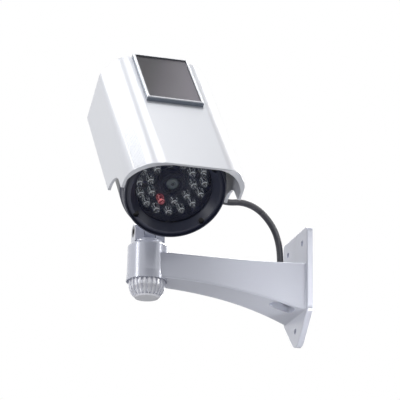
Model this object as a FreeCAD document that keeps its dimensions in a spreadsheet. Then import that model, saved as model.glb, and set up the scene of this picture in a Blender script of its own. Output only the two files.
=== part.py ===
import FreeCAD, Part
import math
import os
import Sketcher

# Solar-powered security camera on a wall bracket, as a parametric FreeCAD document in millimetres.
#
# Row frame: the origin is the middle of the wall plate's back face, +Y points into the wall, the arm reaches out
# along -Y and +Z is up. The camera head stands on a swivel clevis at the arm's end and looks along +X, nose down.
# Head pieces are drawn in a frame of their own: its origin is the middle of the bezel's front face, its X axis is
# the optical axis, pointing out of the camera, and its Z axis points to the hood.
#

document = FreeCAD.newDocument("SecurityCamera")
sheet = document.addObject("Spreadsheet::Sheet", "sizes")


class Size:
    """A length or angle that keeps its spreadsheet expression beside its value."""

    def __init__(self, text, value):
        self.text = text
        self.value = value

    def joined(self, sign, other, value):
        return Size(f"({self.text} {sign} {text_of(other)})", value)

    def __add__(self, other):
        return self.joined("+", other, self.value + value_of(other))

    def __sub__(self, other):
        return self.joined("-", other, self.value - value_of(other))

    def __mul__(self, other):
        return self.joined("*", other, self.value * value_of(other))

    def __truediv__(self, other):
        return self.joined("/", other, self.value / value_of(other))

    def __rsub__(self, other):
        return Size(f"({other} - {self.text})", other - self.value)

    def __rmul__(self, other):
        return Size(f"({other} * {self.text})", other * self.value)

    def __neg__(self):
        return Size(f"(0 - {self.text})", -self.value)

    def __float__(self):
        return float(self.value)


def value_of(size):
    """The number that a Size or a plain number stands for."""
    return size.value if isinstance(size, Size) else size


def text_of(size):
    """The expression that a Size or a plain number stands for."""
    return size.text if isinstance(size, Size) else repr(size)


def sine(angle):
    return Size(f"sin({angle.text})", math.sin(math.radians(angle.value)))


def cosine(angle):
    return Size(f"cos({angle.text})", math.cos(math.radians(angle.value)))


def root(size):
    return Size(f"sqrt({size.text})", math.sqrt(size.value))


def size(name, value):
    """Write one driving size into the spreadsheet and return it."""
    row = size.rows = getattr(size, "rows", 0) + 1
    sheet.set(f"A{row}", name)
    sheet.set(f"B{row}", str(value))
    sheet.setAlias(f"B{row}", name)
    return Size(f"sizes.{name}", value)


# ---------------------------------------------------------------- driving sizes
# fits
slip_gap = size("slip_gap", 0.05)
seat_gap = size("seat_gap", 0.1)
face_gap = size("face_gap", 0.4)

# wall plate
plate_width = size("plate_width", 56)
plate_top = size("plate_top", 44.8)
plate_foot = size("plate_foot", 43.2)
plate_shoulder = size("plate_shoulder", 19.8)
plate_thickness = size("plate_thickness", 4.5)
plate_corner = size("plate_corner", 4)
plate_hip = size("plate_hip", 8)
wall_screw_hole = size("wall_screw_hole", 4.5)
wall_screw_spacing = size("wall_screw_spacing", 33)
upper_screw_height = size("upper_screw_height", 34)
lower_screw_drop = size("lower_screw_drop", 31)

# arm
arm_reach = size("arm_reach", 121)
arm_wall = size("arm_wall", 3)
mouth_web_width = size("mouth_web_width", 7)
mouth_half = size("mouth_half", 12)
mouth_rise = size("mouth_rise", 12.4)
mouth_drop = size("mouth_drop", 6)
mouth_round = size("mouth_round", 3)
arm_root_half = size("arm_root_half", 24.6)
arm_waist_half = size("arm_waist_half", 15.5)
arm_tip_half = size("arm_tip_half", 13.5)
arm_waist_reach = size("arm_waist_reach", 72)
arm_flare_radius = size("arm_flare_radius", 295)
arm_top_root = size("arm_top_root", 16.3)
arm_top_tip = size("arm_top_tip", 17.5)
arm_foot_root = size("arm_foot_root", 20.2)
arm_foot_tip = size("arm_foot_tip", 2.4)
arm_belly_radius = size("arm_belly_radius", 352)
arm_core_reach = size("arm_core_reach", 98)
arm_edge_round = size("arm_edge_round", 1.2)
root_fillet = size("root_fillet", 1.5)
window_near = size("window_near", 10)
window_far = size("window_far", 28)
window_middle = size("window_middle", 3.4)
window_side = size("window_side", 18.4)
window_round = size("window_round", 6.5)
chute_wall = size("chute_wall", 1.6)
chute_top = size("chute_top", 6.5)
cord_reach = size("cord_reach", 16.3)

# collar, swivel post and clamp knob
collar_top = size("collar_top", 24)
collar_foot = size("collar_foot", 3)
collar_radius = size("collar_radius", 15)
collar_flare = size("collar_flare", 0.8)
collar_chamfer = size("collar_chamfer", 1.8)
collar_rim = size("collar_rim", 1.6)
skirt_wall = size("skirt_wall", 0.9)
skirt_depth = size("skirt_depth", 2)
post_radius = size("post_radius", 6)
post_length = size("post_length", 22)
stud_radius = size("stud_radius", 4)
knob_radius = size("knob_radius", 13.8)
knob_foot_radius = size("knob_foot_radius", 8.8)
knob_height = size("knob_height", 13.6)
knob_band = size("knob_band", 3)
flute_count = size("flute_count", 24)
flute_radius = size("flute_radius", 1.05)
flute_depth = size("flute_depth", 1.5)
flute_turn = size("flute_turn", 44)
washer_thickness = size("washer_thickness", 1)
clamp_washer_radius = size("clamp_washer_radius", 10)
insert_radius = size("insert_radius", 6)
insert_length = size("insert_length", 9)

# clevis
clevis_base_radius = size("clevis_base_radius", 11.6)
clevis_base_thickness = size("clevis_base_thickness", 3.4)
pivot_rise = size("pivot_rise", 11)
ear_radius = size("ear_radius", 6)
clevis_width = size("clevis_width", 22.8)
clevis_slot = size("clevis_slot", 9.2)
tilt_bolt_radius = size("tilt_bolt_radius", 2.5)
tilt_head_radius = size("tilt_head_radius", 4.2)
tilt_head_length = size("tilt_head_length", 4)
hex_key = size("hex_key", 4)
nut_width = size("nut_width", 8)
nut_length = size("nut_length", 4)

# where the head stands on its pivot
tilt_angle = size("tilt_angle", 48)
face_ahead = size("face_ahead", 45)
optic_rise = size("optic_rise", 61)

# barrel and rear cap
barrel_radius = size("barrel_radius", 39.2)
barrel_wall = size("barrel_wall", 2.4)
barrel_rear = size("barrel_rear", 92)
shoulder_length = size("shoulder_length", 6)
shelf_depth = size("shelf_depth", 9.2)
shelf_thickness = size("shelf_thickness", 2)
boss_radius = size("boss_radius", 4.2)
boss_length = size("boss_length", 12)
cap_depth = size("cap_depth", 12)
cap_round = size("cap_round", 6)
cap_spigot = size("cap_spigot", 4)
cap_screw_circle = size("cap_screw_circle", 33)
small_screw = size("small_screw", 1.4)
small_head = size("small_head", 2.7)
small_head_height = size("small_head_height", 1.6)

# bezel and window
bezel_radius = size("bezel_radius", 37.2)
bezel_lip = size("bezel_lip", 0.9)
bezel_groove = size("bezel_groove", 1.6)
bezel_ridge = size("bezel_ridge", 32.5)
bezel_screw_head = size("bezel_screw_head", 2.1)
bezel_flange = size("bezel_flange", 4)
bezel_spigot = size("bezel_spigot", 34.6)
bezel_screw_circle = size("bezel_screw_circle", 32.6)
bezel_screw_angle = size("bezel_screw_angle", 41)
window_opening = size("window_opening", 28.4)
window_recess = size("window_recess", 6.2)
window_radius = size("window_radius", 30.8)
window_thickness = size("window_thickness", 2)

# lamp board and lens
board_depth = size("board_depth", 20)
board_radius = size("board_radius", 28.4)
board_thickness = size("board_thickness", 1.6)
lamp_radius = size("lamp_radius", 2.5)
lamp_length = size("lamp_length", 8.6)
outer_lamp_circle = size("outer_lamp_circle", 24)
outer_lamp_count = size("outer_lamp_count", 16)
inner_lamp_circle = size("inner_lamp_circle", 16.2)
inner_lamp_count = size("inner_lamp_count", 10)
lens_barrel_radius = size("lens_barrel_radius", 9.6)
lens_barrel_length = size("lens_barrel_length", 9)
lens_bore = size("lens_bore", 7.4)
lens_radius = size("lens_radius", 5)

# battery tray and power board
tray_depth = size("tray_depth", 34)
tray_thickness = size("tray_thickness", 2)
cell_radius = size("cell_radius", 7.15)
cell_length = size("cell_length", 50)
cell_drop = size("cell_drop", 10)
spring_length = size("spring_length", 2.6)
power_board_length = size("power_board_length", 44)
power_board_width = size("power_board_width", 34)
power_board_rise = size("power_board_rise", 12)
standoff_radius = size("standoff_radius", 2.4)
standoff_circle = size("standoff_circle", 20)
board_screw_head = size("board_screw_head", 2.3)

# foot
saddle_length = size("saddle_length", 44)
saddle_half_width = size("saddle_half_width", 15)
saddle_thickness = size("saddle_thickness", 3)
neck_half_length = size("neck_half_length", 10)

# hood
hood_rear = size("hood_rear", 129)
hood_visor = size("hood_visor", 37.5)
hood_visor_sweep = size("hood_visor_sweep", 62)
hood_lobe_ahead = size("hood_lobe_ahead", 15)
hood_lobe_rise = size("hood_lobe_rise", 7.2)
hood_lobe_round = size("hood_lobe_round", 1.5)
hood_rear_lobe = size("hood_rear_lobe", 16.5)
hood_notch_sweep = size("hood_notch_sweep", 27)
hood_wall = size("hood_wall", 2)
hood_rim = size("hood_rim", 2.2)
hood_mouth = size("hood_mouth", 44.6)
hood_lip_round = size("hood_lip_round", 0.4)
hood_half = size("hood_half", 43.1)
hood_side_drop = size("hood_side_drop", 12.6)
hood_roof_rise = size("hood_roof_rise", 43)

# the hood's section at its rear end
rear_splay = size("rear_splay", 2.2)
rear_shoulder_rise = size("rear_shoulder_rise", 24)
rear_shoulder_round = size("rear_shoulder_round", 8)
rear_facet_low_in = size("rear_facet_low_in", 2)
rear_facet_low_rise = size("rear_facet_low_rise", 28.4)
rear_facet_high_in = size("rear_facet_high_in", 9.2)
rear_facet_high_rise = size("rear_facet_high_rise", 37.6)
rear_roof_half = size("rear_roof_half", 24.5)
rear_roof_round = size("rear_roof_round", 13)

# the hood's section at the visor
visor_widening = size("visor_widening", 0.8)
visor_splay = size("visor_splay", 1.1)
visor_shoulder_rise = size("visor_shoulder_rise", 13)
visor_shoulder_round = size("visor_shoulder_round", 26)
visor_facet_low_in = size("visor_facet_low_in", 3.7)
visor_facet_low_rise = size("visor_facet_low_rise", 27)
visor_facet_high_in = size("visor_facet_high_in", 10.1)
visor_facet_high_rise = size("visor_facet_high_rise", 36.6)
visor_roof_half = size("visor_roof_half", 22)
visor_roof_round = size("visor_roof_round", 14.3)

# ribs on the hood's facets
rib_count = size("rib_count", 9)
rib_pitch = size("rib_pitch", 1.15)
rib_width = size("rib_width", 0.6)
rib_height = size("rib_height", 0.25)
rib_root = size("rib_root", 0.4)
rib_end_gap = size("rib_end_gap", 2.6)

# solar panel
panel_rear = size("panel_rear", 128.6)
panel_length = size("panel_length", 72)
panel_width = size("panel_width", 43)
panel_height = size("panel_height", 3.6)
panel_rim = size("panel_rim", 1.7)
panel_chamfer = size("panel_chamfer", 0.6)
cell_thickness = size("cell_thickness", 0.8)
cover_thickness = size("cover_thickness", 0.8)

# cord
cord_radius = size("cord_radius", 2.5)
gland_back = size("gland_back", 56)
gland_angle = size("gland_angle", 33)
gland_length = size("gland_length", 9)
gland_radius = size("gland_radius", 6)
gland_flat = size("gland_flat", 38.6)
grommet_neck = size("grommet_neck", 5.4)
cord_end_height = size("cord_end_height", 12)

document.recompute()

# levels worked out from the driving sizes
friction_washer_top = collar_top + washer_thickness
pivot_height = collar_top + pivot_rise
knob_top = -collar_foot + skirt_depth - washer_thickness - slip_gap
knob_foot = knob_top - knob_height
boss_foot = shelf_depth + shelf_thickness + boss_length

parts = {}
# two things nearer than this touch
touching = 0.001


# ---------------------------------------------------------------- document helpers
def bind(item, **properties):
    """Bind an object's properties to sizes, or set them when they are plain."""
    for name, wanted in properties.items():
        if isinstance(wanted, Size):
            setattr(item, name, float(wanted))
            item.setExpression(name, wanted.text)
        else:
            setattr(item, name, wanted)
    return item


def place(item, x=0, y=0, z=0):
    """Bind the position of an object to sizes."""
    item.Placement.Base = FreeCAD.Vector(value_of(x), value_of(y), value_of(z))
    for axis, wanted in (("x", x), ("y", y), ("z", z)):
        if isinstance(wanted, Size):
            item.setExpression(f"Placement.Base.{axis}", wanted.text)
    return item


def keep(node, item):
    """Register a finished sub-part under its node name."""
    item.Label = node
    parts[node] = item
    return item


def put_on_arm(item):
    """Stand a piece of the swivel or the knob on the collar's axis."""
    return place(item, y=-arm_reach)


def put_in_head(item):
    """Carry a piece drawn in the head's frame to the resting pose on the tilt pivot."""
    item.Placement.Rotation = FreeCAD.Rotation(FreeCAD.Vector(0, 1, 0), float(tilt_angle))
    item.setExpression("Placement.Rotation.Angle", tilt_angle.text)
    return place(
        item,
        x=face_ahead * cosine(tilt_angle) + optic_rise * sine(tilt_angle),
        y=-arm_reach,
        z=pivot_height + optic_rise * cosine(tilt_angle) - face_ahead * sine(tilt_angle),
    )


def new_body(name):
    return document.addObject("PartDesign::Body", name)


def plane_of(body, role):
    """One of a body's own origin planes or axes, by its role."""
    return next(item for item in body.Origin.OriginFeatures if item.Role == role)


def line(x, y):
    """The next point of an outline, reached by a straight line."""
    return ("line", x, y, None, None)


def arc(x, y, radius, side):
    """The next point of an outline, reached by an arc whose centre is left (1) or right (-1) of the way there."""
    return ("arc", x, y, radius, side)


def draw(sketch, outline):
    """Draw a closed outline of lines and arcs, every point and radius bound to sizes."""
    count = len(outline)
    ends = [FreeCAD.Vector(value_of(step[1]), value_of(step[2]), 0) for step in outline]
    first = len(sketch.Geometry)
    for index, (kind, _, _, radius, side) in enumerate(outline):
        start, end = ends[index - 1], ends[index]
        if kind == "line":
            sketch.addGeometry(Part.LineSegment(start, end), False)
            continue
        across = FreeCAD.Vector(start.y - end.y, end.x - start.x, 0).normalize()
        half = start.distanceToPoint(end) / 2
        rise = math.sqrt(max(value_of(radius) ** 2 - half**2, 0))
        centre = (start + end) / 2 + across * rise * side
        middle = centre - across * value_of(radius) * side
        sketch.addGeometry(Part.Arc(start, middle, end), False)
    # an arc always runs anticlockwise in a sketch, so the one whose centre is on the right starts at its far end
    starts = [2 if step[0] == "arc" and step[4] < 0 else 1 for step in outline]
    for index in range(count):
        after = (index + 1) % count
        sketch.addConstraint(
            Sketcher.Constraint(
                "Coincident", first + index, 3 - starts[index], first + after, starts[after]
            )
        )
    for index, (kind, x, y, radius, _) in enumerate(outline):
        point = 3 - starts[index]
        for way, wanted in (("DistanceX", x), ("DistanceY", y)):
            number = sketch.addConstraint(
                Sketcher.Constraint(way, -1, 1, first + index, point, value_of(wanted))
            )
            if isinstance(wanted, Size):
                sketch.setExpression(f"Constraints[{number}]", wanted.text)
        if kind == "arc":
            number = sketch.addConstraint(
                Sketcher.Constraint("Radius", first + index, value_of(radius))
            )
            if isinstance(radius, Size):
                sketch.setExpression(f"Constraints[{number}]", radius.text)
    return sketch


def draw_circle(sketch, x, y, radius):
    """Draw a circle, its centre and radius bound to sizes."""
    index = sketch.addGeometry(
        Part.Circle(FreeCAD.Vector(value_of(x), value_of(y), 0), FreeCAD.Vector(0, 0, 1), value_of(radius)), False
    )
    for constraint, wanted in (
        (("DistanceX", -1, 1, index, 3), x),
        (("DistanceY", -1, 1, index, 3), y),
        (("Radius", index), radius),
    ):
        number = sketch.addConstraint(Sketcher.Constraint(*constraint, value_of(wanted)))
        if isinstance(wanted, Size):
            sketch.setExpression(f"Constraints[{number}]", wanted.text)
    return sketch


def body_sketch(body, plane, outlines=(), circles=(), offset=None):
    """A sketch on one of the body's own planes, with closed outlines and circles."""
    sketch = body.newObject("Sketcher::SketchObject", f"{body.Name}_sketch")
    sketch.AttachmentSupport = (plane_of(body, plane), [""])
    sketch.MapMode = "FlatFace"
    if offset is not None:
        sketch.AttachmentOffset.Base.z = value_of(offset)
        if isinstance(offset, Size):
            sketch.setExpression("AttachmentOffset.Base.z", offset.text)
    for outline in outlines:
        draw(sketch, outline)
    for circle in circles:
        draw_circle(sketch, *circle)
    return sketch


def pad(body, sketch, length, midplane=False, reverse=False):
    feature = body.newObject("PartDesign::Pad", f"{body.Name}_pad")
    feature.Profile = sketch
    bind(feature, Length=length)
    feature.Midplane = midplane
    feature.Reversed = reverse
    body.Tip = feature
    return feature


def pocket(body, sketch, length=None, midplane=False, reverse=False):
    """Cut a sketch out of the body, to a length or through everything."""
    feature = body.newObject("PartDesign::Pocket", f"{body.Name}_pocket")
    feature.Profile = sketch
    feature.Type = "ThroughAll" if length is None else "Length"
    if length is not None:
        bind(feature, Length=length)
    feature.Midplane = midplane
    feature.Reversed = reverse
    body.Tip = feature
    return feature


def revolve(body, sketch, axis, groove=False):
    """Turn a sketch about its own horizontal or vertical axis, adding or cutting."""
    kind = "Groove" if groove else "Revolution"
    feature = body.newObject(f"PartDesign::{kind}", f"{body.Name}_{kind.lower()}")
    feature.Profile = sketch
    feature.ReferenceAxis = (sketch, [axis])
    feature.Angle = 360
    body.Tip = feature
    return feature


def around(body, features, axis, count):
    """Repeat features evenly around an axis of the body."""
    pattern = body.newObject("PartDesign::PolarPattern", f"{body.Name}_pattern")
    pattern.Originals = features
    pattern.Axis = (plane_of(body, axis), [""])
    pattern.Angle = 360
    pattern.Occurrences = int(count.value)
    pattern.setExpression("Occurrences", count.text)
    body.Tip = pattern
    return pattern


def edges_where(shape, wanted):
    """Names of the edges whose middle point the test accepts."""
    names = []
    for index, edge in enumerate(shape.Edges):
        if wanted(edge.valueAt((edge.FirstParameter + edge.LastParameter) / 2), edge):
            names.append(f"Edge{index + 1}")
    return names


def dress(body, kind, amount, wanted):
    """Round (Fillet) or bevel (Chamfer) the chosen edges of the body's tip."""
    document.recompute()
    base = body.Tip
    feature = body.newObject(f"PartDesign::{kind}", f"{body.Name}_{kind.lower()}")
    feature.Base = (base, edges_where(base.Shape, wanted))
    bind(feature, **{"Radius" if kind == "Fillet" else "Size": amount})
    body.Tip = feature
    return feature


def turned(node, outline, axis="H_Axis", plane="XZ_Plane"):
    """A body of revolution from one outline."""
    body = new_body(node)
    revolve(body, body_sketch(body, plane, [outline]), axis)
    return body


def free_sketch(name, rotation, outline):
    """A sketch outside any body, standing in a plane given by its rotation."""
    sketch = document.addObject("Sketcher::SketchObject", name)
    sketch.Placement.Rotation = rotation
    return draw(sketch, outline)


def extruded(name, sketch, direction, length):
    """A solid extruded to both sides of a sketch."""
    feature = document.addObject("Part::Extrusion", name)
    feature.Base = sketch
    feature.DirMode = "Custom"
    feature.Dir = direction
    feature.Symmetric = True
    feature.Solid = True
    bind(feature, LengthFwd=length)
    return feature


def cylinder(name, radius, height, x=0, y=0, z=0, axis=(0, 0, 1)):
    """A cylinder whose foot stands at a point and which points along an axis."""
    item = document.addObject("Part::Cylinder", name)
    bind(item, Radius=radius, Height=height)
    item.Placement.Rotation = FreeCAD.Rotation(FreeCAD.Vector(0, 0, 1), FreeCAD.Vector(*axis))
    return place(item, x, y, z)


def block(name, length, width, height, x=0, y=0, z=0):
    """A box whose low corner stands at a point."""
    item = document.addObject("Part::Box", name)
    bind(item, Length=length, Width=width, Height=height)
    return place(item, x, y, z)


def fused(name, *items):
    feature = document.addObject("Part::MultiFuse", name)
    feature.Shapes = list(items)
    return feature


def rounded_edges(name, base, radius, wanted):
    """A solid with a rounding on the edges that the test accepts."""
    document.recompute()
    feature = document.addObject("Part::Fillet", name)
    feature.Base = base
    amount = float(radius)
    feature.Edges = [(int(edge[4:]), amount, amount) for edge in edges_where(base.Shape, wanted)]
    return feature


def cut(name, base, tool):
    feature = document.addObject("Part::Cut", name)
    feature.Base = base
    feature.Tool = tool
    return feature


def group(name, *items):
    """Separate solids kept together as one node."""
    feature = document.addObject("Part::Compound", name)
    feature.Links = list(items)
    return feature


def pan_head_screw(name, tip, head_face, y, z, head_radius=small_head):
    """A small screw along X: its shank runs from tip up to the face its head sits on."""
    shank = cylinder(f"{name}_shank", small_screw, head_face - tip, tip, y, z, (1, 0, 0))
    head = cylinder(f"{name}_head", head_radius, small_head_height, head_face, y, z, (1, 0, 0))
    return fused(name, shank, head)


UPRIGHT_ACROSS = FreeCAD.Rotation(FreeCAD.Vector(1, 0, 0), 90)
UPRIGHT_ALONG = FreeCAD.Rotation(FreeCAD.Vector(1, 1, 1), 120)
FLAT = FreeCAD.Rotation()


# ---------------------------------------------------------------- wall bracket
def arm_plan(half_tip, half_waist, half_root, tip, root):
    """The arm from above: straight from the collar to the waist, then flared to the wall."""
    return [
        line(-half_tip, -tip),
        line(half_tip, -tip),
        line(half_waist, -arm_waist_reach),
        arc(half_root, -plate_thickness, arm_flare_radius, -1),
        line(half_root, root),
        line(-half_root, root),
        line(-half_root, -plate_thickness),
        arc(-half_waist, -arm_waist_reach, arm_flare_radius, -1),
    ]


def arm_side(top_tip, top_root, foot_tip, foot_root, tip, root, belly):
    """The arm from the side: a straight top and a belly that sweeps down to the wall."""
    return [
        line(-tip, top_tip),
        line(-tip, -foot_tip),
        arc(-plate_thickness, -foot_root, belly, -1),
        line(root, -foot_root),
        line(root, top_root),
        line(-plate_thickness, top_root),
    ]


def crossed(name, plan, side):
    """The solid that has one outline from above and another from the side."""
    reach = 3 * plate_width
    from_above = extruded(f"{name}_plan", free_sketch(f"{name}_plan_sketch", FLAT, plan), (0, 0, 1), reach)
    from_side = extruded(
        f"{name}_side", free_sketch(f"{name}_side_sketch", UPRIGHT_ALONG, side), (1, 0, 0), reach
    )
    feature = document.addObject("Part::MultiCommon", name)
    feature.Shapes = [from_above, from_side]
    return feature


def make_plate():
    """The shield-shaped wall plate with its rounded corners and three screw holes."""
    half = plate_width / 2
    body = new_body("plate")
    outline = [
        line(-half, plate_top),
        line(-half, -plate_shoulder),
        line(0, -plate_shoulder - half),
        line(half, -plate_shoulder),
        line(half, plate_top),
    ]
    pad(body, body_sketch(body, "XZ_Plane", [outline]), plate_thickness)
    point = float(-plate_shoulder - half)

    def at_height(height):
        return lambda middle, edge: abs(middle.z - float(height)) < 0.01 and abs(middle.y + float(plate_thickness) / 2) < 0.01

    # the point of the shield is rounded until it ends at the plate's foot
    tip_round = (plate_shoulder + half - plate_foot) / (math.sqrt(2) - 1)
    dress(body, "Fillet", tip_round, at_height(point))
    dress(body, "Fillet", plate_hip, at_height(-plate_shoulder))
    dress(body, "Fillet", plate_corner, at_height(plate_top))
    dress(body, "Fillet", 0.8, lambda middle, edge: abs(middle.y + float(plate_thickness)) < 0.01)
    holes = body_sketch(
        body,
        "XZ_Plane",
        circles=[
            (-wall_screw_spacing / 2, upper_screw_height, wall_screw_hole / 2),
            (wall_screw_spacing / 2, upper_screw_height, wall_screw_hole / 2),
            (0, -lower_screw_drop, wall_screw_hole / 2),
        ],
    )
    pocket(body, holes, plate_thickness * 3, midplane=True)
    return body


def make_collar():
    """The collar, with the rim round the swivel's base and the skirt that hides the knob's upper edge."""
    skirt = collar_radius + collar_flare - skirt_wall
    rim_top = collar_top + collar_rim
    seat = clevis_base_radius + face_gap
    outline = [
        line(0, collar_top),
        line(0, -collar_foot + skirt_depth),
        line(skirt, -collar_foot + skirt_depth),
        line(skirt, -collar_foot),
        line(collar_radius + collar_flare, -collar_foot),
        line(collar_radius + collar_flare / 3, collar_foot),
        line(collar_radius, rim_top - collar_chamfer),
        line(collar_radius - collar_chamfer, rim_top),
        line(seat, rim_top),
        line(seat, collar_top),
    ]
    return put_on_arm(turned("collar", outline, axis="V_Axis"))


def window_outline(out):
    """The opening in the arm's underside beside its middle line, grown outwards by a wall."""
    near, far = -window_near + out, -window_far - out
    middle, side = window_middle - out, window_side + out
    turn, corner = window_round + out, window_round / 2 + out
    return [
        line(middle, far + turn),
        arc(middle + turn, far, turn, 1),
        line(side - turn, far),
        arc(side, far + turn, turn, 1),
        line(side, near - corner),
        arc(side - corner, near, corner, 1),
        line(middle + corner, near),
        arc(middle, near - corner, corner, 1),
    ]


def mouth_outline(side):
    """One half of the cable opening through the wall plate, beside the middle web."""
    near, wide, turn = mouth_web_width / 2, mouth_half, mouth_round
    return [
        line(near * side, -mouth_drop),
        line((wide - turn) * side, -mouth_drop),
        arc(wide * side, -mouth_drop + turn, turn, side),
        line(wide * side, mouth_rise - turn),
        arc((wide - turn) * side, mouth_rise, turn, side),
        line(near * side, mouth_rise),
    ]


def make_mouth_plate():
    """The plate's middle behind the arm, with the cable opening on both sides of a web."""
    body = new_body("mouth_plate")
    wide = arm_root_half
    outline = [
        line(-wide, -arm_foot_root),
        line(wide, -arm_foot_root),
        line(wide, arm_top_root),
        line(-wide, arm_top_root),
    ]
    pad(body, body_sketch(body, "XZ_Plane", [outline]), plate_thickness)
    mouths = body_sketch(body, "XZ_Plane", [mouth_outline(1), mouth_outline(-1)])
    pocket(body, mouths, plate_thickness * 3, midplane=True)
    return body


def make_wall_bracket():
    """One hollow casting: wall plate, arm and collar."""
    solid_arm = crossed(
        "arm_solid",
        arm_plan(arm_tip_half, arm_waist_half, arm_root_half, arm_reach, -plate_thickness / 2),
        arm_side(
            arm_top_tip, arm_top_root, arm_foot_tip, arm_foot_root, arm_reach, -plate_thickness / 2, arm_belly_radius
        ),
    )

    def along_arm(middle, edge):
        return -float(arm_reach) + 1 < middle.y < -float(plate_thickness) - 1 and edge.Length > 20

    rounded = rounded_edges("arm_rounded", solid_arm, arm_edge_round, along_arm)

    def at_root(middle, edge):
        in_front = abs(middle.y + float(plate_thickness)) < touching
        beside = abs(middle.x) < float(arm_root_half) + touching
        return in_front and beside and -float(arm_foot_root) - touching < middle.z < float(arm_top_root) + touching

    rooted = rounded_edges("arm_rooted", fused("plate_and_arm", make_plate(), rounded), root_fillet, at_root)
    shell = fused("bracket_shell", rooted, make_collar())
    core = crossed(
        "arm_core",
        arm_plan(
            arm_tip_half - arm_wall, arm_waist_half - arm_wall, arm_root_half - arm_wall, arm_core_reach, plate_thickness
        ),
        arm_side(
            arm_top_tip - arm_wall,
            arm_top_root - arm_wall,
            arm_foot_tip - arm_wall,
            arm_foot_root - arm_wall,
            arm_core_reach,
            plate_thickness,
            arm_belly_radius,
        ),
    )
    hollow = cut("bracket_hollow", shell, core)
    # the cable leaves below through a short chute that stands up inside the arm
    chute_blank = extruded(
        "chute_blank", free_sketch("chute_sketch", FLAT, window_outline(chute_wall)), (0, 0, 1), arm_foot_root * 2
    )
    place(chute_blank, z=-chute_top - arm_foot_root)
    chute = document.addObject("Part::MultiCommon", "chute")
    chute.Shapes = [solid_arm, chute_blank]
    lined = fused("bracket_lined", hollow, chute)
    window = extruded("window_tool", free_sketch("window_sketch", FLAT, window_outline(0)), (0, 0, 1), arm_foot_root * 2)
    place(window, z=-arm_foot_root - arm_wall)
    bore = put_on_arm(cylinder("post_bore", post_radius + slip_gap, collar_top * 3, z=-collar_top))
    bore.setExpression("Placement.Base.z", (-collar_top).text)
    grommet_hole = cylinder("grommet_hole", grommet_neck + seat_gap, arm_wall * 3, y=-cord_reach, z=arm_top_root - arm_wall * 2)
    skirt_room = put_on_arm(
        cylinder("skirt_room", collar_radius + collar_flare - skirt_wall, collar_foot * 3)
    )
    skirt_room.setExpression("Placement.Base.z", (skirt_depth - collar_foot * 4).text)
    tools = fused("bracket_tools", window, bore, grommet_hole, skirt_room)
    opened = cut("bracket_opened", lined, tools)
    return keep("wall_bracket", fused("bracket_closed", opened, make_mouth_plate()))


def make_arm_grommet():
    """The rubber plug in the arm's top that the cord goes into."""
    top = arm_top_root + (arm_top_tip - arm_top_root) * (cord_reach / arm_reach)
    inside = top - arm_wall
    body = turned(
        "arm_grommet_body",
        [
            line(0, inside - 4),
            line(grommet_neck - 0.6, inside - 4),
            line(grommet_neck + 1.2, inside - 0.2),
            line(grommet_neck, inside - 0.1),
            line(grommet_neck, top + 0.2),
            line(grommet_neck + 1.6, top + 0.2),
            line(grommet_neck + 1.6, top + 1.4),
            line(cord_radius + 1.4, top + 1.8),
            line(cord_radius + 0.8, top + 3.2),
            line(cord_radius, top + 3.2),
            line(cord_radius, cord_end_height),
            line(0, cord_end_height),
        ],
        axis="V_Axis",
    )
    place(body, y=-cord_reach)
    return keep("arm_grommet", body)


# ---------------------------------------------------------------- swivel, clevis and knob
def make_swivel_clevis():
    """The swivel: a post in the collar, a round base and two ears with the tilt bolt's hole."""
    body = new_body("clevis_body")
    base = friction_washer_top
    post_foot = base - post_length
    outline = [
        line(0, base + clevis_base_thickness),
        line(0, post_foot + post_length * 0.6),
        line(stud_radius + slip_gap, post_foot + post_length * 0.6),
        line(stud_radius + slip_gap, post_foot),
        line(post_radius, post_foot),
        line(post_radius, base),
        line(clevis_base_radius, base),
        line(clevis_base_radius, base + clevis_base_thickness * 0.7),
        line(clevis_base_radius - 1, base + clevis_base_thickness),
    ]
    revolve(body, body_sketch(body, "XZ_Plane", [outline]), "V_Axis")
    ears = [
        line(-ear_radius, base + clevis_base_thickness / 2),
        line(ear_radius, base + clevis_base_thickness / 2),
        line(ear_radius, pivot_height),
        arc(0, pivot_height + ear_radius, ear_radius, 1),
        arc(-ear_radius, pivot_height, ear_radius, 1),
    ]
    pad(body, body_sketch(body, "XZ_Plane", [ears]), clevis_width, midplane=True)
    slot = [
        line(-clevis_base_radius, pivot_height - ear_radius - face_gap),
        line(clevis_base_radius, pivot_height - ear_radius - face_gap),
        line(clevis_base_radius, pivot_height + ear_radius * 2),
        line(-clevis_base_radius, pivot_height + ear_radius * 2),
    ]
    pocket(body, body_sketch(body, "XZ_Plane", [slot]), clevis_slot, midplane=True)
    bolt_hole = body_sketch(body, "XZ_Plane", circles=[(0, pivot_height, tilt_bolt_radius + slip_gap)])
    pocket(body, bolt_hole, clevis_width * 2, midplane=True)
    document.recompute()
    head_seat = put_on_arm_local(
        "tilt_head_seat", tilt_head_radius + seat_gap, tilt_head_length + seat_gap, -clevis_width / 2, 1
    )
    nut_seat = hexagon_prism(
        "tilt_nut_seat", nut_width + seat_gap * 2, nut_length + seat_gap, clevis_width / 2 - nut_length - seat_gap
    )
    put_on_arm(body)
    return keep("swivel_clevis", cut("clevis_cut", body, fused("clevis_seats", head_seat, nut_seat)))


def put_on_arm_local(name, radius, length, y, way):
    """A cylinder along the tilt axis that starts at y from the collar's axis."""
    return cylinder(name, radius, length, 0, y - arm_reach, pivot_height, (0, way, 0))


def hexagon_prism(name, width, length, y):
    """A hexagonal prism along the tilt axis that starts at y from the collar's axis."""
    item = document.addObject("Part::Prism", name)
    item.Polygon = 6
    bind(item, Circumradius=width / math.sqrt(3), Height=length)
    item.Placement.Rotation = FreeCAD.Rotation(FreeCAD.Vector(0, 0, 1), FreeCAD.Vector(0, 1, 0))
    return place(item, 0, y - arm_reach, pivot_height)


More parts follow.
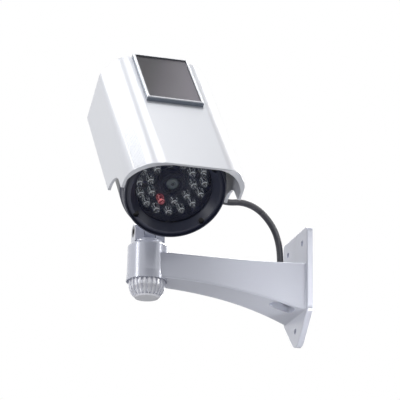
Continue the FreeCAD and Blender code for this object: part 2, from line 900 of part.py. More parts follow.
def make_tilt_bolt():
    """The socket-head bolt through the ears and the knuckle, with its nut."""
    head_start = -clevis_width / 2 + seat_gap
    shank_start = head_start + tilt_head_length
    nut_start = clevis_width / 2 - nut_length
    head = put_on_arm_local("tilt_bolt_head", tilt_head_radius, tilt_head_length, head_start, 1)
    shank = put_on_arm_local(
        "tilt_bolt_shank", tilt_bolt_radius, nut_start + nut_length - seat_gap * 2 - shank_start, shank_start, 1
    )
    socket = hexagon_prism("tilt_bolt_socket", hex_key, tilt_head_length * 0.6, head_start)
    keep("tilt_bolt", cut("tilt_bolt_cut", fused("tilt_bolt_solid", head, shank), socket))
    nut = hexagon_prism("tilt_nut_prism", nut_width, nut_length - seat_gap, nut_start)
    hole = put_on_arm_local("tilt_nut_hole", tilt_bolt_radius + slip_gap, nut_length * 2, nut_start - nut_length / 2, 1)
    keep("tilt_nut", cut("tilt_nut_cut", nut, hole))


def make_stack():
    """What the knob clamps: friction washer, threaded stud and clamp washer."""
    washer = turned(
        "friction_washer_body",
        [
            line(post_radius + slip_gap * 2, collar_top),
            line(clevis_base_radius, collar_top),
            line(clevis_base_radius, friction_washer_top),
            line(post_radius + slip_gap * 2, friction_washer_top),
        ],
        axis="V_Axis",
    )
    keep("friction_washer", put_on_arm(washer))
    post_foot = friction_washer_top - post_length
    stud_top = post_foot + post_length * 0.6 - seat_gap
    stud_foot = knob_top - insert_length
    stud = cylinder("pan_stud_rod", stud_radius, stud_top - stud_foot, z=stud_foot)
    stud.setExpression("Placement.Base.z", stud_foot.text)
    keep("pan_stud", put_on_arm(stud))
    clamp = turned(
        "clamp_washer_body",
        [
            line(stud_radius + slip_gap * 2, knob_top),
            line(clamp_washer_radius, knob_top),
            line(clamp_washer_radius, knob_top + washer_thickness),
            line(stud_radius + slip_gap * 2, knob_top + washer_thickness),
        ],
        axis="V_Axis",
    )
    keep("clamp_washer", put_on_arm(clamp))


def make_clamp_knob():
    """The fluted knob under the collar and its threaded brass insert."""
    body = new_body("clamp_knob_body")
    band_foot = knob_top - knob_band
    curve_height = knob_height - knob_band
    curve_width = knob_radius - knob_foot_radius
    # the side leaves the band upright and curves in until it meets the flat foot
    curve = (curve_height * curve_height + curve_width * curve_width) / (curve_width * 2)
    outline = [
        line(0, knob_top - insert_length - 1),
        line(insert_radius + seat_gap, knob_top - insert_length - 1),
        line(insert_radius + seat_gap, knob_top),
        line(knob_radius - 0.8, knob_top),
        line(knob_radius, knob_top - 0.8),
        line(knob_radius, band_foot),
        arc(knob_foot_radius, knob_foot, curve, -1),
        line(0, knob_foot),
    ]
    revolve(body, body_sketch(body, "XZ_Plane", [outline]), "V_Axis")
    reach = flute_radius - flute_depth
    flute = body_sketch(body, "XY_Plane", circles=[(knob_radius + reach, 0, flute_radius)], offset=band_foot)
    document.recompute()
    before = body.Tip.Shape.Volume
    upper = pocket(body, flute, knob_band * 2, reverse=True)
    # below the band each flute bends in with the side, about the same centre
    bend = body_sketch(body, "XY_Plane", circles=[(curve + reach, 0, flute_radius)], offset=band_foot)
    bend.setExpression("AttachmentOffset.Base.x", (knob_radius - curve).text)
    lower = revolve(body, bend, "V_Axis", groove=True)
    bind(lower, Angle=flute_turn)
    document.recompute()
    assert body.Tip.Shape.Volume < before, "the flutes cut nothing"
    around(body, [upper, lower], "Z_Axis", flute_count)
    keep("clamp_knob", put_on_arm(body))
    insert = turned(
        "knob_insert_body",
        [
            line(stud_radius + slip_gap, knob_top - insert_length),
            line(insert_radius, knob_top - insert_length),
            line(insert_radius, knob_top),
            line(stud_radius + slip_gap, knob_top),
        ],
        axis="V_Axis",
    )
    keep("knob_insert", put_on_arm(insert))


# ---------------------------------------------------------------- head: foot, barrel and cap
def make_head_foot():
    """The foot: a knuckle between the ears, a ribbed neck and a saddle under the barrel."""
    body = new_body("head_foot_body")
    knuckle_half = clevis_slot / 2 - face_gap
    # the knuckle's centre is the tilt pivot, seen from the bezel's face
    back, down = -face_ahead, -optic_rise
    under = -barrel_radius - saddle_thickness / 2
    neck = [
        line(back - ear_radius, down),
        arc(back, down - ear_radius, ear_radius, 1),
        arc(back + ear_radius, down, ear_radius, 1),
        line(back + ear_radius, down + ear_radius),
        arc(back + neck_half_length + 2, under, 14, -1),
        line(back - neck_half_length - 2, under),
        arc(back - ear_radius, down + ear_radius, 14, -1),
    ]
    pad(body, body_sketch(body, "XZ_Plane", [neck]), knuckle_half * 2, midplane=True)
    inner = barrel_radius + seat_gap
    outer = barrel_radius + saddle_thickness
    inner_edge = -root(inner * inner - saddle_half_width * saddle_half_width)
    outer_edge = -root(outer * outer - saddle_half_width * saddle_half_width)
    saddle = [
        line(-saddle_half_width, outer_edge),
        arc(saddle_half_width, outer_edge, outer, 1),
        line(saddle_half_width, inner_edge),
        arc(-saddle_half_width, inner_edge, inner, -1),
    ]
    pad(
        body,
        body_sketch(body, "YZ_Plane", [saddle], offset=back - saddle_length / 2),
        saddle_length,
    )
    gusset = [
        line(-saddle_half_width * 0.75, under),
        line(-knuckle_half * 0.5, under - 9),
        line(knuckle_half * 0.5, under - 9),
        line(saddle_half_width * 0.75, under),
    ]
    pad(body, body_sketch(body, "YZ_Plane", [gusset], offset=back - 1.5), 3)
    hole = body_sketch(body, "XZ_Plane", circles=[(back, down, tilt_bolt_radius + slip_gap)])
    pocket(body, hole, clevis_slot * 2, midplane=True)
    document.recompute()
    outside = cylinder("saddle_limit", inner, saddle_length * 2, back - saddle_length, 0, 0, (1, 0, 0))
    screws = fused("foot_screw_holes", *foot_screw_rods("foot_hole", small_screw + slip_gap))
    keep("head_foot", put_in_head(cut("head_foot_cut", body, fused("foot_tools", outside, screws))))


def foot_screw_places():
    """Where the foot's four screws stand: (along the barrel, angle about it)."""
    for along in (-16, 16):
        for angle in (-14, 14):
            yield along - face_ahead if isinstance(along, Size) else -face_ahead + along, angle


def foot_screw_rods(name, radius):
    """Four rods from inside the barrel's wall out past the saddle."""
    rods = []
    for number, (along, angle) in enumerate(foot_screw_places()):
        turn = math.radians(angle)
        way = (0, math.sin(turn), -math.cos(turn))
        start = barrel_radius - barrel_wall + slip_gap
        rods.append(
            cylinder(
                f"{name}_{number}",
                radius,
                barrel_wall + saddle_thickness + 1,
                along,
                start * way[1],
                start * way[2],
                way,
            )
        )
    return rods


def make_foot_screws():
    """Four pan-head screws from below through the saddle into the barrel."""
    screws = []
    rods = foot_screw_rods("foot_screw_rod", small_screw)
    for number, (along, angle) in enumerate(foot_screw_places()):
        turn = math.radians(angle)
        way = (0, math.sin(turn), -math.cos(turn))
        start = barrel_radius + saddle_thickness + slip_gap
        head = cylinder(
            f"foot_screw_head_{number}", small_head, small_head_height, along, start * way[1], start * way[2], way
        )
        screws.append(fused(f"foot_screw_{number}", rods[number], head))
    keep("foot_screws", put_in_head(group("foot_screws_group", *screws)))


def bezel_screw_places():
    """(y, z) of the bezel's four screws."""
    for across in (-1, 1):
        for up in (-1, 1):
            yield (
                bezel_screw_circle * cosine(bezel_screw_angle) * across,
                bezel_screw_circle * sine(bezel_screw_angle) * up,
            )


def cap_screw_places():
    """(y, z) of the rear cap's three screws."""
    for turn in (90, 210, 330):
        yield (
            cap_screw_circle * math.cos(math.radians(turn)),
            cap_screw_circle * math.sin(math.radians(turn)),
        )


def make_housing_barrel():
    """The barrel: a tube with a window shelf in front, screw bosses and a flat for the cord's gland."""
    inner = barrel_radius - barrel_wall
    spigot = bezel_spigot + seat_gap
    outline = [
        line(-bezel_flange, spigot),
        line(-bezel_flange, bezel_radius + 0.2),
        arc(-bezel_flange - shoulder_length, barrel_radius, 12, -1),
        line(-barrel_rear, barrel_radius),
        line(-barrel_rear, inner),
        line(-shelf_depth - shelf_thickness, inner),
        line(-shelf_depth - shelf_thickness, window_opening + 0.2),
        line(-shelf_depth, window_opening + 0.2),
        line(-shelf_depth, spigot),
    ]
    tube = turned("barrel_tube", outline)
    bosses = [
        cylinder(f"bezel_boss_{number}", boss_radius, boss_length, -boss_foot, y, z, (1, 0, 0))
        for number, (y, z) in enumerate(bezel_screw_places())
    ] + [
        cylinder(f"cap_boss_{number}", boss_radius, boss_length, -barrel_rear + cap_spigot, y, z, (1, 0, 0))
        for number, (y, z) in enumerate(cap_screw_places())
    ]
    limit = cylinder("boss_limit", inner + 0.5, barrel_rear, -barrel_rear, 0, 0, (1, 0, 0))
    kept_bosses = document.addObject("Part::MultiCommon", "bosses_inside")
    kept_bosses.Shapes = [fused("all_bosses", *bosses), limit]
    holes = [
        cylinder(f"bezel_thread_{number}", small_screw + slip_gap, boss_length + shelf_thickness, 2 - boss_foot, y, z, (1, 0, 0))
        for number, (y, z) in enumerate(bezel_screw_places())
    ] + [
        cylinder(f"cap_thread_{number}", small_screw + slip_gap, boss_length, -barrel_rear, y, z, (1, 0, 0))
        for number, (y, z) in enumerate(cap_screw_places())
    ]
    gland = gland_piece("gland_spot", gland_radius + seat_gap, gland_length, gland_flat)
    gland_bore = gland_piece("gland_bore", cord_radius + 1 + seat_gap, gland_length * 2, gland_flat - gland_length)
    tools = fused(
        "barrel_tools", *holes, gland, gland_bore, *foot_screw_rods("barrel_foot_hole", small_screw + slip_gap)
    )
    keep("housing_barrel", put_in_head(cut("barrel_cut", fused("barrel_solid", tube, kept_bosses), tools)))


def gland_piece(name, radius, length, start):
    """A cylinder along the gland's axis that starts at a distance from the optical axis."""
    across, down = cosine(gland_angle), -sine(gland_angle)
    way = (0, float(across), float(down))
    return cylinder(name, radius, length, -gland_back, start * across, start * down, way)


def make_cord_gland():
    """The gland that the cord leaves the barrel through."""
    flange = gland_piece("gland_flange", gland_radius, 1.6, gland_flat)
    sleeve = document.addObject("Part::Cone", "gland_sleeve")
    bind(sleeve, Radius1=cord_radius + 1.8, Radius2=cord_radius + 0.9, Height=gland_length - 1.5)
    across, down = cosine(gland_angle), -sine(gland_angle)
    sleeve.Placement.Rotation = FreeCAD.Rotation(
        FreeCAD.Vector(0, 0, 1), FreeCAD.Vector(0, float(across), float(down))
    )
    start = gland_flat + 1.5
    place(sleeve, -gland_back, start * across, start * down)
    neck = gland_piece("gland_neck", cord_radius + 1, gland_flat - barrel_radius + barrel_wall + 0.8, barrel_radius - barrel_wall - 0.8)
    keep("cord_gland", put_in_head(fused("cord_gland_solid", flange, sleeve, neck)))


def make_rear_cap():
    """The domed rear cap with its spigot, held by three screws, and its seal."""
    inner = barrel_radius - barrel_wall
    rear = -barrel_rear - cap_depth
    outline = [
        line(rear, 0),
        line(rear, barrel_radius - cap_round),
        arc(rear + cap_round, barrel_radius, cap_round, -1),
        line(-barrel_rear - face_gap, barrel_radius),
        line(-barrel_rear - face_gap, inner - seat_gap),
        line(-barrel_rear + cap_spigot - face_gap, inner - seat_gap),
        line(-barrel_rear + cap_spigot - face_gap, inner - barrel_wall),
        line(-barrel_rear - face_gap, inner - barrel_wall),
        line(rear + barrel_wall, barrel_radius - cap_round - barrel_wall),
        line(rear + barrel_wall, 0),
    ]
    shell = turned("rear_cap_shell", outline)
    pillars = [
        cylinder(f"cap_pillar_{number}", boss_radius, cap_depth - barrel_wall, rear + barrel_wall / 2, y, z, (1, 0, 0))
        for number, (y, z) in enumerate(cap_screw_places())
    ]
    seats = []
    for number, (y, z) in enumerate(cap_screw_places()):
        seats.append(cylinder(f"cap_hole_{number}", small_screw + slip_gap, cap_depth * 3, rear - 1, y, z, (1, 0, 0)))
        seats.append(cylinder(f"cap_seat_{number}", small_head + seat_gap, 3, rear - 1, y, z, (1, 0, 0)))
    solid = fused("rear_cap_solid", shell, *pillars)
    keep("rear_cap", put_in_head(cut("rear_cap_cut", solid, fused("rear_cap_tools", *seats))))
    screws = [
        rear_screw(f"cap_screw_{number}", rear + 2, y, z) for number, (y, z) in enumerate(cap_screw_places())
    ]
    keep("cap_screws", put_in_head(group("cap_screws_group", *screws)))
    seal = turned(
        "cap_seal_ring",
        [
            line(-barrel_rear - face_gap, inner + 0.4),
            line(-barrel_rear - face_gap, barrel_radius - 0.4),
            line(-barrel_rear, barrel_radius - 0.4),
            line(-barrel_rear, inner + 0.4),
        ],
    )
    keep("cap_seal", put_in_head(seal))


def rear_screw(name, head_face, y, z):
    """A screw whose head looks to the rear."""
    head = cylinder(f"{name}_head", small_head, small_head_height, head_face - small_head_height, y, z, (1, 0, 0))
    shank = cylinder(f"{name}_shank", small_screw, cap_depth + boss_length / 2, head_face, y, z, (1, 0, 0))
    return fused(name, head, shank)


# ---------------------------------------------------------------- head: bezel, window, lamps and lens
def make_front_bezel():
    """The bezel ring, dished inside its ridge and grooved outside it, with four sunk screws."""
    outline = [
        line(0, bezel_ridge),
        line(-bezel_groove, bezel_radius - bezel_lip - 0.3),
        line(0, bezel_radius - bezel_lip),
        line(0, bezel_radius - 0.3),
        line(-0.3, bezel_radius),
        line(-bezel_flange, bezel_radius),
        line(-bezel_flange, bezel_spigot),
        line(-shelf_depth, bezel_spigot),
        line(-shelf_depth, window_radius + seat_gap),
        line(-window_recess, window_radius + seat_gap),
        line(-window_recess, window_opening),
        line(-window_recess + 0.6, window_opening),
    ]
    ring = turned("bezel_ring", outline)
    tools = []
    for number, (y, z) in enumerate(bezel_screw_places()):
        tools.append(cylinder(f"bezel_hole_{number}", small_screw + slip_gap, shelf_depth * 2, -shelf_depth * 1.5, y, z, (1, 0, 0)))
        seat = bezel_screw_head + seat_gap
        tools.append(cylinder(f"bezel_seat_{number}", seat, bezel_flange * 2, -bezel_flange, y, z, (1, 0, 0)))
    keep("front_bezel", put_in_head(cut("front_bezel_cut", ring, fused("bezel_tools", *tools))))
    screws = [
        pan_head_screw(
            f"bezel_screw_{number}", -shelf_depth - shelf_thickness - 8, -bezel_flange, y, z, bezel_screw_head
        )
        for number, (y, z) in enumerate(bezel_screw_places())
    ]
    keep("bezel_screws", put_in_head(group("bezel_screws_group", *screws)))


def make_window():
    """The window pressed against the barrel's shelf, with its seal behind it."""
    back = window_recess + window_thickness
    window = turned(
        "front_window_disc",
        [
            line(-back, 0),
            line(-back, window_radius),
            line(-window_recess, window_radius),
            line(-window_recess, 0),
        ],
    )
    keep("front_window", put_in_head(window))
    seal = turned(
        "window_seal_ring",
        [
            line(-shelf_depth, window_opening + 0.6),
            line(-shelf_depth, window_radius),
            line(-back, window_radius),
            line(-back, window_opening + 0.6),
        ],
    )
    keep("window_seal", put_in_head(seal))


def standoff_places():
    """(y, z) of the lamp board's four posts, between the two rings of lamps."""
    # each post stands in a gap of both rings
    for turn in (18, 86, 198, 266):
        yield (
            standoff_circle * math.cos(math.radians(turn)),
            standoff_circle * math.sin(math.radians(turn)),
        )


def make_lamp_board():
    """The round lamp board on four posts, held by four screws."""
    board = cylinder("lamp_board_disc", board_radius, board_thickness, -board_depth - board_thickness, 0, 0, (1, 0, 0))
    holes = fused(
        "lamp_board_holes",
        *[
            cylinder(f"lamp_board_hole_{number}", small_screw + slip_gap, board_thickness * 3, -board_depth - board_thickness * 2, y, z, (1, 0, 0))
            for number, (y, z) in enumerate(standoff_places())
        ],
    )
    keep("lamp_board", put_in_head(cut("lamp_board_cut", board, holes)))
    board_back = -board_depth - board_thickness
    posts, screws = [], []
    for number, (y, z) in enumerate(standoff_places()):
        post = cylinder(f"post_{number}", standoff_radius, tray_depth - board_depth - board_thickness, -tray_depth, y, z, (1, 0, 0))
        thread = cylinder(f"post_thread_{number}", small_screw + slip_gap, 7, board_back - 6, y, z, (1, 0, 0))
        posts.append(cut(f"board_post_{number}", post, thread))
        screws.append(pan_head_screw(f"board_screw_{number}", board_back - 5, -board_depth, y, z, board_screw_head))
    keep("board_posts", put_in_head(group("board_posts_group", *posts)))
    keep("board_screws", put_in_head(group("board_screws_group", *screws)))


def lamp(name, y, z):
    """One clear lamp: a flanged foot, a round body and a domed top."""
    body = new_body(name)
    foot = 1.0
    outline = [
        line(0, 0),
        line(0, lamp_radius + 0.4),
        line(foot, lamp_radius + 0.4),
        line(foot, lamp_radius),
        line(lamp_length - lamp_radius, lamp_radius),
        arc(lamp_length, 0, lamp_radius, -1),
    ]
    revolve(body, body_sketch(body, "XZ_Plane", [outline]), "H_Axis")
    return place(body, -board_depth, y, z)


def make_lamps():
    """Two rings of clear lamps round the lens, one place of the inner ring holding the red warning lamp."""
    clear = []
    rings = ((outer_lamp_circle, outer_lamp_count, 6.0), (inner_lamp_circle, inner_lamp_count, -36.0))
    for circle, count, start in rings:
        for place_number in range(int(count.value)):
            turn = math.radians(start + 360 / count.value * place_number)
            name = f"lamp_{int(circle.value)}_{place_number}"
            made = lamp(name, circle * math.cos(turn), circle * math.sin(turn))
            if circle is inner_lamp_circle and place_number == RED_LAMP_PLACE:
                keep("warning_lamp", put_in_head(group("warning_lamp_group", made)))
            else:
                clear.append(made)
    keep("clear_lamps", put_in_head(group("clear_lamps_group", *clear)))


RED_LAMP_PLACE = 8


def make_lens():
    """The lens barrel on the lamp board, its ring and its glass."""
    front = -board_depth + lens_barrel_length
    barrel = turned(
        "lens_barrel_tube",
        [
            line(-board_depth, 0),
            line(-board_depth, lens_barrel_radius + 0.8),
            line(-board_depth + 2, lens_barrel_radius + 0.8),
            line(-board_depth + 2, lens_barrel_radius),
            line(front, lens_barrel_radius),
            line(front, lens_bore + slip_gap),
            line(front - 3, lens_bore + slip_gap),
            line(front - 3, lens_radius + slip_gap),
            line(front - 6, lens_radius + slip_gap),
            line(front - 6, 0),
        ],
    )
    keep("lens_barrel", put_in_head(barrel))
    ring = turned(
        "lens_ring_turned",
        [
            line(front - 3, lens_radius - 0.4),
            line(front - 3, lens_bore),
            line(front - 0.6, lens_bore),
            line(front - 0.6, lens_radius + 1.4),
            line(front - 2.4, lens_radius - 0.4),
        ],
    )
    keep("lens_ring", put_in_head(ring))
    bulge = lens_radius * 2
    rise = bulge - root(bulge * bulge - lens_radius * lens_radius)
    glass = turned(
        "lens_glass_turned",
        [
            line(front - 6, 0),
            line(front - 6, lens_radius),
            line(front - 3.1 - rise, lens_radius),
            arc(front - 3.1, 0, bulge, -1),
        ],
    )
    keep("lens_glass", put_in_head(glass))


# ---------------------------------------------------------------- head: battery and power board
def make_battery():
    """The tray across the barrel, the cell lying in it, its contacts and the power board above."""
    inner = barrel_radius - barrel_wall
    disc = cylinder("tray_disc", inner - seat_gap, tray_thickness, -tray_depth - tray_thickness, 0, 0, (1, 0, 0))
    trough_start = -tray_depth - tray_thickness
    trough_length = cell_length + spring_length + tray_thickness
    outer = cell_radius + 2
    trough = cylinder("tray_trough", outer, trough_length, trough_start - trough_length, 0, -cell_drop, (1, 0, 0))
    open_top = block(
        "tray_open_top", trough_length - tray_thickness, outer * 2, outer,
        trough_start - trough_length + tray_thickness, -outer, -cell_drop,
    )
    channel = cylinder(
        "tray_channel", cell_radius + seat_gap, trough_length - tray_thickness,
        trough_start - trough_length + tray_thickness, 0, -cell_drop, (1, 0, 0),
    )
    tray = cut("tray_cut", fused("tray_solid", disc, trough), fused("tray_tools", open_top, channel))
    keep("battery_tray", put_in_head(tray))
    cell_front = trough_start - 0.4
    can = cylinder("cell_can", cell_radius, cell_length - 1.5, cell_front - cell_length, 0, -cell_drop, (1, 0, 0))
    button = cylinder("cell_button", 2.6, 1.5, cell_front - 1.5, 0, -cell_drop, (1, 0, 0))
    keep("battery_cell", put_in_head(fused("battery_cell_solid", can, button)))
    plate = cylinder("contact_plate_disc", cell_radius - 1, 0.4, trough_start - 0.4, 0, -cell_drop, (1, 0, 0))
    keep("contact_plate", put_in_head(group("contact_plate_group", plate)))
    spring_room = spring_length - 0.4
    spring = document.addObject("Part::Cone", "contact_spring_cone")
    bind(spring, Radius1=5.5, Radius2=3.5, Height=spring_room)
    spring.Placement.Rotation = FreeCAD.Rotation(FreeCAD.Vector(0, 0, 1), FreeCAD.Vector(1, 0, 0))
    place(spring, cell_front - cell_length - spring_room, 0, -cell_drop)
    keep("contact_spring", put_in_head(group("contact_spring_group", spring)))
    board = block(
        "power_board_blank", power_board_length, power_board_width, board_thickness,
        trough_start - power_board_length, -power_board_width / 2, power_board_rise,
    )
    keep("power_board", put_in_head(group("power_board_group", board)))


# ---------------------------------------------------------------- hood and solar panel
class HoodSection:
    """One end of the hood's section: side, shoulder, slanted facet and roof, on both halves."""

    def __init__(self, half, splay, shoulder_rise, shoulder_round, low_in, low_rise, high_in, high_rise, roof):
        self.half, self.splay = half, splay
        self.shoulder_rise, self.shoulder_round = shoulder_rise, shoulder_round
        self.low, self.high = (half - low_in, low_rise), (half - high_in, high_rise)
        self.roof_half, self.roof_round = roof
        slope_in, slope_up = high_in - low_in, high_rise - low_rise
        length = root(slope_in * slope_in + slope_up * slope_up)
        # which way the facet climbs and which way it faces
        self.climb = (-(slope_in / length), slope_up / length)
        self.facing = (slope_up / length, slope_in / length)
        self.length = length

    def on_facet(self, along, out):
        """The point that lies some way up the facet and some way out of it."""
        return [self.low[axis] + self.climb[axis] * along + self.facing[axis] * out for axis in (0, 1)]

    def half_outline(self, inset, drop, side):
        """One half of the section, from the lower edge to the roof, moved in by a wall."""
        way = 1 if side > 0 else -1
        (low_out, low_rise) = self.on_facet(0, -inset)
        (high_out, high_rise) = self.on_facet(self.length, -inset)
        return [
            line((self.half + self.splay - inset) * side, -hood_side_drop - drop),
            line((self.half - inset) * side, self.shoulder_rise),
            arc(low_out * side, low_rise, self.shoulder_round - inset, way),
            line(high_out * side, high_rise),
            arc(self.roof_half * side, hood_roof_rise - inset, self.roof_round - inset, way),
        ]

    def outline(self, inset, drop):
        """The closed section, its sides reaching some way below the hood's lower edge."""
        return self.half_outline(inset, drop, 1) + reversed_outline(self.half_outline(inset, drop, -1))

    def rib_comb(self, side):
        """The closed comb whose teeth stand out of one facet and whose back lies inside the wall."""
        first = (self.length - rib_pitch * (rib_count - 1)) / 2
        points = []
        for number in range(int(rib_count.value)):
            foot = first + rib_pitch * number - rib_width / 2
            for along, out in ((foot, -0.1), (foot, rib_height), (foot + rib_width, rib_height), (foot + rib_width, -0.1)):
                points.append(self.on_facet(along, out))
        points.append(self.on_facet(self.length, -rib_root))
        points.append(self.on_facet(0, -rib_root))
        return [line(across * side, rise) for across, rise in points]


def hood_sections():
    """The hood's sections at its rear end and at its visor."""
    rear = HoodSection(
        hood_half, rear_splay, rear_shoulder_rise, rear_shoulder_round, rear_facet_low_in, rear_facet_low_rise,
        rear_facet_high_in, rear_facet_high_rise, (rear_roof_half, rear_roof_round),
    )
    visor = HoodSection(
        hood_half + visor_widening, visor_splay, visor_shoulder_rise, visor_shoulder_round, visor_facet_low_in,
        visor_facet_low_rise, visor_facet_high_in, visor_facet_high_rise, (visor_roof_half, visor_roof_round),
    )
    return rear, visor


def reversed_outline(outline):
    """The same chain of points walked the other way; its first point is reached by a straight line."""
    walked = []
    kinds = [("line", None, None)] + [(step[0], step[3], step[4]) for step in reversed(outline[1:])]
    for step, (kind, radius, side) in zip(reversed(outline), kinds):
        walked.append((kind, step[1], step[2], radius, -side if side else None))
    return walked


def lofted_along_head(name, rear_outline, front_outline):
    """A solid that runs straight from one outline at the hood's rear end to another at its visor."""
    feature = document.addObject("Part::Loft", name)
    ends = []
    for end, outline, ahead in (("rear", rear_outline, -hood_rear), ("front", front_outline, hood_visor)):
        sketch = free_sketch(f"{name}_{end}", UPRIGHT_ALONG, outline)
        ends.append(place(sketch, x=ahead))
    feature.Sections = ends
    feature.Solid = True
    feature.Ruled = True
    return feature


def visor_edge(back):
    """The hood's front edge from the side, from its lobes up to the roof, moved back by a length."""
    start = (hood_lobe_ahead - back, hood_lobe_rise + hood_lobe_round)
    return start, arc(hood_visor - back, hood_roof_rise - hood_wall / 2, hood_visor_sweep, -1)


def side_tool(name, outline):
    """A solid across the whole hood, from an outline seen from the side."""
    sketch = free_sketch(f"{name}_sketch", UPRIGHT_ACROSS, outline)
    return extruded(name, sketch, (0, 1, 0), hood_half * 4)


def make_hood():
    """The hood: a lofted shell with a stiff rim at its visor, lobes, arched notches and ribbed facets."""
    rear, visor = hood_sections()
    filled = lofted_along_head("hood_filled", rear.outline(0, 0), visor.outline(0, 0))
    inside = lofted_along_head("hood_inside", rear.outline(hood_wall, 2), visor.outline(hood_wall, 2))
    low, beyond = -hood_side_drop * 2, hood_visor + 20
    lobe_top = hood_lobe_rise + hood_lobe_round
    start, edge = visor_edge(0)
    trim = side_tool(
        "hood_trim",
        [
            line(-hood_rear_lobe, low),
            line(-hood_rear_lobe, -hood_side_drop + 2),
            arc(1.0, hood_lobe_rise, hood_notch_sweep, -1),
            line(hood_lobe_ahead - hood_lobe_round, hood_lobe_rise),
            arc(*start, hood_lobe_round, 1),
            edge,
            line(hood_visor, hood_roof_rise + 2),
            line(beyond, hood_roof_rise + 2),
            line(beyond, low),
        ],
    )
    back_start, back_edge = visor_edge(hood_rim)
    band = side_tool(
        "hood_rim_band",
        [
            line(*back_start),
            back_edge,
            line(hood_visor - hood_rim, hood_roof_rise + 2),
            line(beyond, hood_roof_rise + 2),
            line(beyond, lobe_top),
        ],
    )
    mouth = cylinder("hood_mouth_tool", hood_mouth, hood_rear + hood_visor * 2, x=-hood_rear, axis=(1, 0, 0))
    rim = document.addObject("Part::MultiCommon", "hood_rim_ring")
    rim.Shapes = [cut("hood_rim_solid", filled, mouth), band]
    shell = cut("hood_trimmed", fused("hood_shell", cut("hood_walls", filled, inside), rim), trim)
    document.recompute()
    skin = filled.Shape.Shells[0]

    def on_lip(middle, edge):
        on_skin = skin.distToShape(Part.Vertex(middle))[0] < touching
        starts = min(corner.X for corner in edge.Vertexes)
        return on_skin and starts > float(hood_lobe_ahead) - touching and middle.z > float(lobe_top)

    lip = rounded_edges("hood_lip", shell, hood_lip_round, on_lip)
    end_start, end_edge = visor_edge(rib_end_gap)
    rib_ends = side_tool(
        "hood_rib_ends",
        [
            line(*end_start),
            end_edge,
            line(hood_visor - rib_end_gap, hood_roof_rise + 2),
            line(beyond, hood_roof_rise + 2),
            line(beyond, lobe_top),
        ],
    )
    combs = [
        lofted_along_head(f"hood_ribs_{name}", rear.rib_comb(side), visor.rib_comb(side))
        for name, side in (("left", 1), ("right", -1))
    ]
    ribs = cut("hood_ribs", fused("hood_combs", *combs), rib_ends)
    keep("hood", put_in_head(fused("hood_ribbed", lip, ribs)))


def make_hood_fixings():
    """The two pads that carry the hood on the barrel."""
    under = hood_roof_rise - hood_wall
    pads = []
    for number, back in enumerate((66, 86)):
        pads.append(cylinder(f"hood_pad_{number}", 5, under - barrel_radius, -back, 0, barrel_radius, (0, 0, 1)))
    keep("hood_pads", put_in_head(group("hood_pads_group", *pads)))


def make_solar_panel():
    """The raised frame on the hood's roof, with the cell and its clear cover."""
    body = new_body("solar_frame_body")
    half = panel_width / 2
    rear, front = -panel_rear, -panel_rear + panel_length
    outline = [line(rear, -half), line(front, -half), line(front, half), line(rear, half)]
    pad(body, body_sketch(body, "XY_Plane", [outline], offset=hood_roof_rise), panel_height)
    rim = panel_rim
    well = [
        line(rear + rim, -half + rim),
        line(front - rim, -half + rim),
        line(front - rim, half - rim),
        line(rear + rim, half - rim),
    ]
    dress(
        body,
        "Chamfer",
        panel_chamfer,
        lambda middle, edge: abs(middle.z - float(hood_roof_rise + panel_height)) < 0.01,
    )
    depth = cell_thickness + cover_thickness + 0.3
    pocket(body, body_sketch(body, "XY_Plane", [well], offset=hood_roof_rise + panel_height), depth)
    keep("solar_frame", put_in_head(body))
    floor = hood_roof_rise + panel_height - depth
    length = panel_length - (rim + seat_gap) * 2
    width = panel_width - (rim + seat_gap) * 2
    corner = (rear + rim + seat_gap, -width / 2)
    sheet_block = block("solar_cell_sheet", length, width, cell_thickness, *corner, floor)
    keep("solar_cell", put_in_head(group("solar_cell_group", sheet_block)))
    cover = block("solar_cover_sheet", length, width, cover_thickness, *corner, floor + cell_thickness)
    keep("solar_cover", put_in_head(group("solar_cover_group", cover)))


# ---------------------------------------------------------------- cord
# Each bend of the cord between the gland and the plug in the arm: its share of the way, how far it lies
# aside of the straight line towards +X and how far it rises above that line.
CORD_BENDS = [
    (0.30, -1.1, 11.6),
    (0.47, -0.5, 23.4),
    (0.65, 0.6, 31.2),
    (0.80, 0.7, 33.4),
    (0.92, 1.4, 30.0),
    (0.98, 1.2, 21.5),
    (1.00, 0.0, 10.0),
]
FIRST_RUN = 11


def cord_route():
    """The cord's points in the row frame, from the gland's end to the plug in the arm."""
    turn, tilt = math.radians(float(gland_angle)), math.radians(float(tilt_angle))
    hood_way = FreeCAD.Vector(math.sin(tilt), 0, math.cos(tilt))
    optic_way = FreeCAD.Vector(math.cos(tilt), 0, -math.sin(tilt))
    face = FreeCAD.Vector(0, -float(arm_reach), float(pivot_height))
    face += optic_way * float(face_ahead) + hood_way * float(optic_rise)
    gland_way = FreeCAD.Vector(0, math.cos(turn), 0) - hood_way * math.sin(turn)
    leaving = face - optic_way * float(gland_back) + gland_way * float(gland_flat + gland_length)
    ending = FreeCAD.Vector(0, -float(cord_reach), float(cord_end_height))
    route = [leaving, leaving + gland_way * FIRST_RUN]
    for share, aside, rise in CORD_BENDS:
        route.append(leaving * (1 - share) + ending * share + FreeCAD.Vector(aside, 0, rise))
    return route + [ending]


